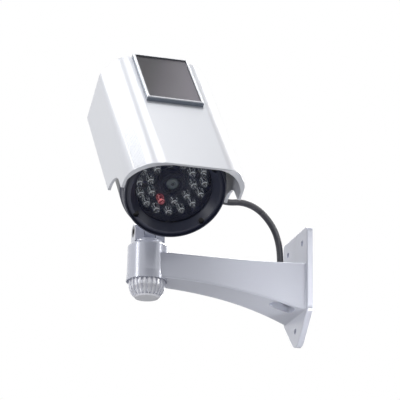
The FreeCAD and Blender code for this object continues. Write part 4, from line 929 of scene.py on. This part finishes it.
@dataclass
class Cord:
    """The lead from the barrel's gland to the grommet in the arm."""

    diameter: float = 0.005
    sides: int = 20
    steps: int = 12
    curve_order: int = 3
    route: tuple[Point, ...] = (
        (0.0, -0.0163, 0.0120),
        (0.0, -0.0163, 0.0220),
        (0.0016, -0.0176, 0.0346),
        (0.0029, -0.0215, 0.0464),
        (0.0044, -0.0293, 0.0563),
        (0.0072, -0.0390, 0.0623),
        (0.0094, -0.0506, 0.0644),
        (0.0120, -0.0617, 0.0619),
        (0.0143, -0.0718, 0.0626),
        (0.0187, -0.0811, 0.0666),
    )

    def build(self, palette: Palette) -> None:
        """Build the lead as two tubes that meet at the middle of its route.

        Args:
            palette: the finishes.
        """
        line = self._smooth_line()
        rings = self._rings(line)
        middle = len(line) // 2
        halves = (
            ("cord_arm_half", 0, middle, "bracket", "swivel"),
            ("cord_head_half", middle, len(line) - 1, "swivel", "head"),
        )
        made: list[bpy.types.Object] = []
        for name, first, last, near, far in halves:
            piece = self._tube(name, rings[first : last + 1])
            piece.data.materials.append(palette.cord_rubber)
            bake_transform(piece)
            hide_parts("cord")
            made.append(piece)

    def _smooth_line(self) -> list[Vector]:
        """The route's smooth centreline.

        Returns:
            Closely spaced points on the line.
        """
        curve = bpy.data.curves.new("cord_route", "CURVE")
        curve.dimensions = "3D"
        curve.resolution_u = self.steps
        spline = curve.splines.new("NURBS")
        spline.points.add(len(self.route) - 1)
        for control, point in zip(spline.points, self.route):
            control.co = (*point, 1.0)
        spline.order_u = self.curve_order
        spline.use_endpoint_u = True
        holder = bpy.data.objects.new("cord_route", curve)
        bpy.context.scene.collection.objects.link(holder)
        mesh = bpy.data.meshes.new_from_object(holder)
        line = [vertex.co.copy() for vertex in mesh.vertices]
        bpy.data.objects.remove(holder)
        bpy.data.meshes.remove(mesh)
        return line

    def _rings(self, line: Sequence[Vector]) -> list[list[Vector]]:
        """Circles square to the line, without twist.

        Args:
            line: points on the centreline.

        Returns:
            One ring of points for each point of the line.
        """
        radius = self.diameter / 2
        rings: list[list[Vector]] = []
        side = Vector((1, 0, 0))
        for number, point in enumerate(line):
            before = line[max(number - 1, 0)]
            after = line[min(number + 1, len(line) - 1)]
            way = (after - before).normalized()
            side = (side - way * side.dot(way)).normalized()
            other = way.cross(side)
            angles = [2 * math.pi * step / self.sides for step in range(self.sides)]
            rings.append([point + (side * math.cos(a) + other * math.sin(a)) * radius for a in angles])
        return rings

    def _tube(self, name: str, rings: Sequence[Sequence[Vector]]) -> bpy.types.Object:
        """Skin a run of rings and close both ends.

        Args:
            name: the piece's name.
            rings: the rings in order.

        Returns:
            The tube.
        """
        count = self.sides
        faces: list[Sequence[int]] = []
        for low in range(0, (len(rings) - 1) * count, count):
            for step in range(count):
                after = (step + 1) % count
                faces.append((low + step, low + after, low + count + after, low + count + step))
        faces.append(tuple(reversed(range(count))))
        faces.append(tuple(range((len(rings) - 1) * count, len(rings) * count)))
        return MeshBench.made(name, [point for ring in rings for point in ring], faces)


class WallBracket:
    """Plate, arm and collar in one casting, with the grommet in the arm."""

    def build(self, dressing: Dressing) -> None:
        """Dress the casting and its grommet.

        Args:
            dressing: assigns the finishes.
        """
        palette = dressing.palette
        dressing.dress(palette.silver_paint, "wall_bracket")
        dressing.dress(palette.seal_rubber, "arm_grommet")


class SwivelJoint:
    """Clevis, tilt bolt, pan stud and the clamp knob below the collar."""

    def build(self, dressing: Dressing) -> None:
        """Dress the swivel's pieces.

        Args:
            dressing: assigns the finishes.
        """
        palette = dressing.palette
        dressing.dress(palette.silver_paint, "swivel_clevis")
        dressing.dress(palette.black_steel, "tilt_bolt")
        dressing.dress(palette.steel, "tilt_nut", "pan_stud", "clamp_washer")
        dressing.dress(palette.nylon, "friction_washer")
        dressing.dress(palette.knob_silver, "clamp_knob")
        dressing.dress(palette.brass, "knob_insert")


@dataclass
class CameraHousing:
    """Barrel, rear cap, bezel, window and everything sealed behind it."""

    board_front: float = -0.01999
    lamp_rings: tuple[tuple[float, int, float], ...] = ((0.024, 16, 6.0), (0.0162, 10, -36.0))
    red_place: tuple[int, int] = (1, 8)
    cup_sides: int = 20
    lens_sides: int = 64
    cup_profile: tuple[tuple[float, float], ...] = (
        (0.0001, 0.0),
        (0.0001, 0.00045),
        (0.0030, 0.00045),
        (0.0036, 0.00120),
        (0.0046, 0.00150),
        (0.0046, 0.00132),
        (0.0038, 0.00070),
        (0.0038, 0.0),
    )
    die_half: float = 0.00045
    die_height: float = 0.0039
    glass_profile: tuple[tuple[float, float], ...] = (
        (-0.01660, 0.0),
        (-0.01660, 0.00495),
        (-0.01400, 0.00495),
        (-0.01345, 0.00475),
        (-0.01290, 0.00410),
        (-0.01250, 0.00320),
        (-0.01225, 0.00210),
        (-0.01213, 0.00105),
        (-0.01210, 0.0),
    )
    surround_profile: tuple[tuple[float, float], ...] = (
        (-0.01390, 0.00500),
        (-0.01390, 0.00730),
        (-0.01210, 0.00735),
        (-0.01165, 0.00715),
        (-0.01165, 0.00660),
        (-0.01215, 0.00640),
        (-0.01215, 0.00600),
        (-0.01270, 0.00580),
        (-0.01270, 0.00540),
        (-0.01330, 0.00500),
        (-0.01390, 0.00500),
    )

    def build(self, dressing: Dressing) -> None:
        """Dress the housing and add the lamps' inner cups.

        Args:
            dressing: assigns the finishes.
        """
        palette = dressing.palette
        dressing.dress(palette.charcoal, "housing_barrel", "rear_cap", "front_bezel")
        dressing.dress(palette.silver_paint, "head_foot")
        dressing.dress(palette.steel, "foot_screws", "cap_screws", "contact_plate", "contact_spring")
        dressing.dress(palette.dark_screw, "bezel_screws", "board_screws")
        dressing.dress(palette.seal_rubber, "cord_gland", "cap_seal", "window_seal")
        dressing.dress(palette.smoked_pane, "front_window")
        dressing.dress(palette.circuit, "lamp_board", "power_board")
        dressing.dress(palette.nylon, "board_posts", "hood_pads")
        dressing.dress(palette.clear_resin, "clear_lamps")
        dressing.dress(palette.red_resin, "warning_lamp")
        dressing.dress(palette.turned_plastic, "lens_barrel")
        dressing.dress(palette.black_plastic, "battery_tray")
        dressing.dress(palette.cell_wrap, "battery_cell")
        self._lamp_hearts(palette)
        self._front_lens(palette)

    def _front_lens(self, palette: Palette) -> None:
        """Build the domed front glass and its stepped ring.

        Args:
            palette: the finishes.
        """
        for name, profile, material, slot, node in (
            ("front_lens", self.glass_profile, palette.lens_coat, "lens_coating", "lens_glass"),
            ("lens_surround", self.surround_profile, palette.turned_plastic, "black_plastic", "lens_ring"),
        ):
            pattern = MeshBench.lathe("pattern", profile, self.lens_sides)
            piece = MeshBench.joined(name, [(pattern, HEAD.matrix)])
            bpy.data.objects.remove(pattern)
            piece.data.materials.append(material)
            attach(piece, "head")
            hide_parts(node)
            log.info("built %s", name)

    def _lamp_places(self) -> list[tuple[float, float, bool]]:
        """Where the lamps stand on the board.

        Returns:
            Across and up in the head's frame, and whether the lamp is the red one.
        """
        places = []
        for ring, (radius, count, start) in enumerate(self.lamp_rings):
            for number in range(count):
                angle = math.radians(start + 360.0 * number / count)
                red = (ring, number) == self.red_place
                places.append((radius * math.cos(angle), radius * math.sin(angle), red))
        return places

    def _lamp_hearts(self, palette: Palette) -> None:
        """Build the metal cup and the die inside every lamp.

        Args:
            palette: the finishes.
        """
        cup = MeshBench.lathe("lamp_cup", self.cup_profile, self.cup_sides)
        die = MeshBench.chip("lamp_die", self.die_half)
        cups, dies, red_die = [], [], []
        for across, up, red in self._lamp_places():
            put = HEAD.matrix @ Matrix.Translation((self.board_front, across, up))
            cups.append((cup, put))
            top = put @ Matrix.Translation((self.die_height, 0, 0))
            (red_die if red else dies).append((die, top))
        for name, copies, material, slot in (
            ("lamp_cups", cups, palette.lamp_metal, "spring_nickel"),
            ("lamp_dies", dies, palette.lamp_die, "black_plastic"),
            ("red_lamp_die", red_die, palette.red_die, "red_resin"),
        ):
            piece = MeshBench.joined(name, copies)
            piece.data.materials.append(material)
            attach(piece, "head")
            log.info("built %s, %d copies", name, len(copies))
        for pattern in (cup, die):
            bpy.data.objects.remove(pattern)


class SunHood:
    """The hood over the barrel and the solar panel on its roof."""

    def build(self, dressing: Dressing) -> None:
        """Dress the hood and the panel.

        Args:
            dressing: assigns the finishes.
        """
        palette = dressing.palette
        dressing.dress(palette.pearl_paint, "hood")
        dressing.dress(palette.frame_silver, "solar_frame")
        dressing.dress(palette.solar_film, "solar_cell")
        dressing.dress(palette.cover_pane, "solar_cover")


# ------------------------------------------------------------------ studio


@dataclass(frozen=True)
class Lamp:
    """One rectangular softbox."""

    name: str
    place: Point
    target: Point
    size: tuple[float, float]
    power: float
    spread: float = 180.0

    def hang(self) -> None:
        """Put the softbox into the scene."""
        light = bpy.data.lights.new(self.name, "AREA")
        light.shape = "RECTANGLE"
        light.size, light.size_y = self.size
        light.energy = self.power
        light.spread = math.radians(self.spread)
        holder = bpy.data.objects.new(self.name, light)
        holder.location = self.place
        beam = Vector(self.target) - Vector(self.place)
        holder.rotation_euler = beam.to_track_quat("-Z", "Y").to_euler()
        holder.visible_camera = False
        bpy.context.scene.collection.objects.link(holder)


@dataclass
class Studio:
    """Floor, background, lights and the camera."""

    azimuth: float = 73.82
    elevation: float = -18.85
    roll: float = 0.79
    eye: Point = (1.3835, -0.4822, -0.4260)
    lens: float = 180.0
    sensor: float = 36.0
    nearest: float = 0.01
    farthest: float = 50.0
    floor_drop: float = 0.62
    floor_half: float = 6.0
    room_light: float = 0.14
    lamps: tuple[Lamp, ...] = field(
        default_factory=lambda: (
            Lamp("top_box", (0.10, -0.15, 1.10), (0.03, -0.12, 0.10), (0.5, 0.5), 5.4),
            Lamp("back_left_box", (-0.40, -0.60, 0.85), (0.03, -0.12, 0.10), (0.35, 0.35), 2.0),
            Lamp("left_box", (0.24, -1.00, 0.20), (0.02, -0.12, 0.04), (0.20, 0.7), 3.1),
            Lamp("right_box", (-0.78, 0.30, 0.52), (0.02, -0.12, 0.06), (0.5, 0.8), 9.5),
            Lamp("wall_side_box", (0.18, 0.05, 0.03), (0.02, 0.035, 0.0), (0.12, 0.12), 0.026, spread=85.0),
            Lamp("chute_box", (0.36, 0.20, -0.36), (0.004, -0.024, -0.012), (0.05, 0.05), 0.006, spread=10.0),
            Lamp("rim_box", (0.39, 0.65, 0.29), (0.0, -0.12, 0.0), (0.08, 0.5), 1.6),
            Lamp("low_box", (0.08, -0.72, -0.57), (0.02, -0.08, 0.0), (0.4, 0.4), 0.8),
        )
    )

    def build(self) -> None:
        """Set the studio up."""
        self._camera()
        self._floor()
        self._world()
        for lamp in self.lamps:
            lamp.hang()
        bpy.context.scene.view_settings.view_transform = "Standard"
        log.info("studio is up with %d lamps", len(self.lamps))

    def _camera(self) -> None:
        """Stand the camera at its viewing angle."""
        turn, rise, roll = (math.radians(v) for v in (self.azimuth, self.elevation, self.roll))
        back = Vector((math.sin(turn) * math.cos(rise), -math.cos(turn) * math.cos(rise), math.sin(rise)))
        level = Vector((math.cos(turn), math.sin(turn), 0))
        above = back.cross(level)
        right = level * math.cos(roll) + above * math.sin(roll)
        up = above * math.cos(roll) - level * math.sin(roll)
        lens = bpy.data.cameras.new("view")
        lens.lens = self.lens
        lens.sensor_width = self.sensor
        lens.clip_start = self.nearest
        lens.clip_end = self.farthest
        camera = bpy.data.objects.new("view", lens)
        turned = Matrix((right, up, back)).transposed().to_4x4()
        camera.matrix_world = Matrix.Translation(Vector(self.eye)) @ turned
        bpy.context.scene.collection.objects.link(camera)
        bpy.context.scene.camera = camera

    def _floor(self) -> None:
        """Lay the pale floor well below the bracket."""
        signs = ((-1, -1), (1, -1), (1, 1), (-1, 1))
        corners = [Vector((x * self.floor_half, y * self.floor_half, -self.floor_drop)) for x, y in signs]
        floor = MeshBench.made("studio_floor", corners, [(0, 1, 2, 3)], smooth=False)
        pale = Finish("studio_floor", (0.78, 0.78, 0.79), (0.76, 0.76, 0.77), 0.7, drift=2.0, depth=0.00001)
        floor.data.materials.append(pale.material())

    def _world(self) -> None:
        """White for the eye, mirrors and glass, a softer grey for the room's own light."""
        world = bpy.data.worlds.new("room")
        bpy.context.scene.world = world
        shop = NodeShop(world)
        path = shop.node("ShaderNodeLightPath")
        seen = Signal(shop, path.outputs["Is Camera Ray"])
        for ray in ("Is Glossy Ray", "Is Transmission Ray"):
            seen = seen.larger(Signal(shop, path.outputs[ray]))
        light = shop.signal(
            "ShaderNodeBackground",
            inputs={"Color": (1, 1, 1, 1), "Strength": seen * (1.0 - self.room_light) + self.room_light},
        )
        shop.node("ShaderNodeOutputWorld", inputs={"Surface": light})


# ------------------------------------------------------------------ making


def main() -> None:
    """Build the studio, the cord and every sub-assembly in order."""
    logging.basicConfig(level=logging.INFO, format="%(name)s: %(message)s")
    Studio().build()
    palette = Palette()
    dressing = Dressing(palette)
    Cord().build(palette)
    WallBracket().build(dressing)
    SwivelJoint().build(dressing)
    CameraHousing().build(dressing)
    SunHood().build(dressing)


if __name__ == "__main__":
    main()
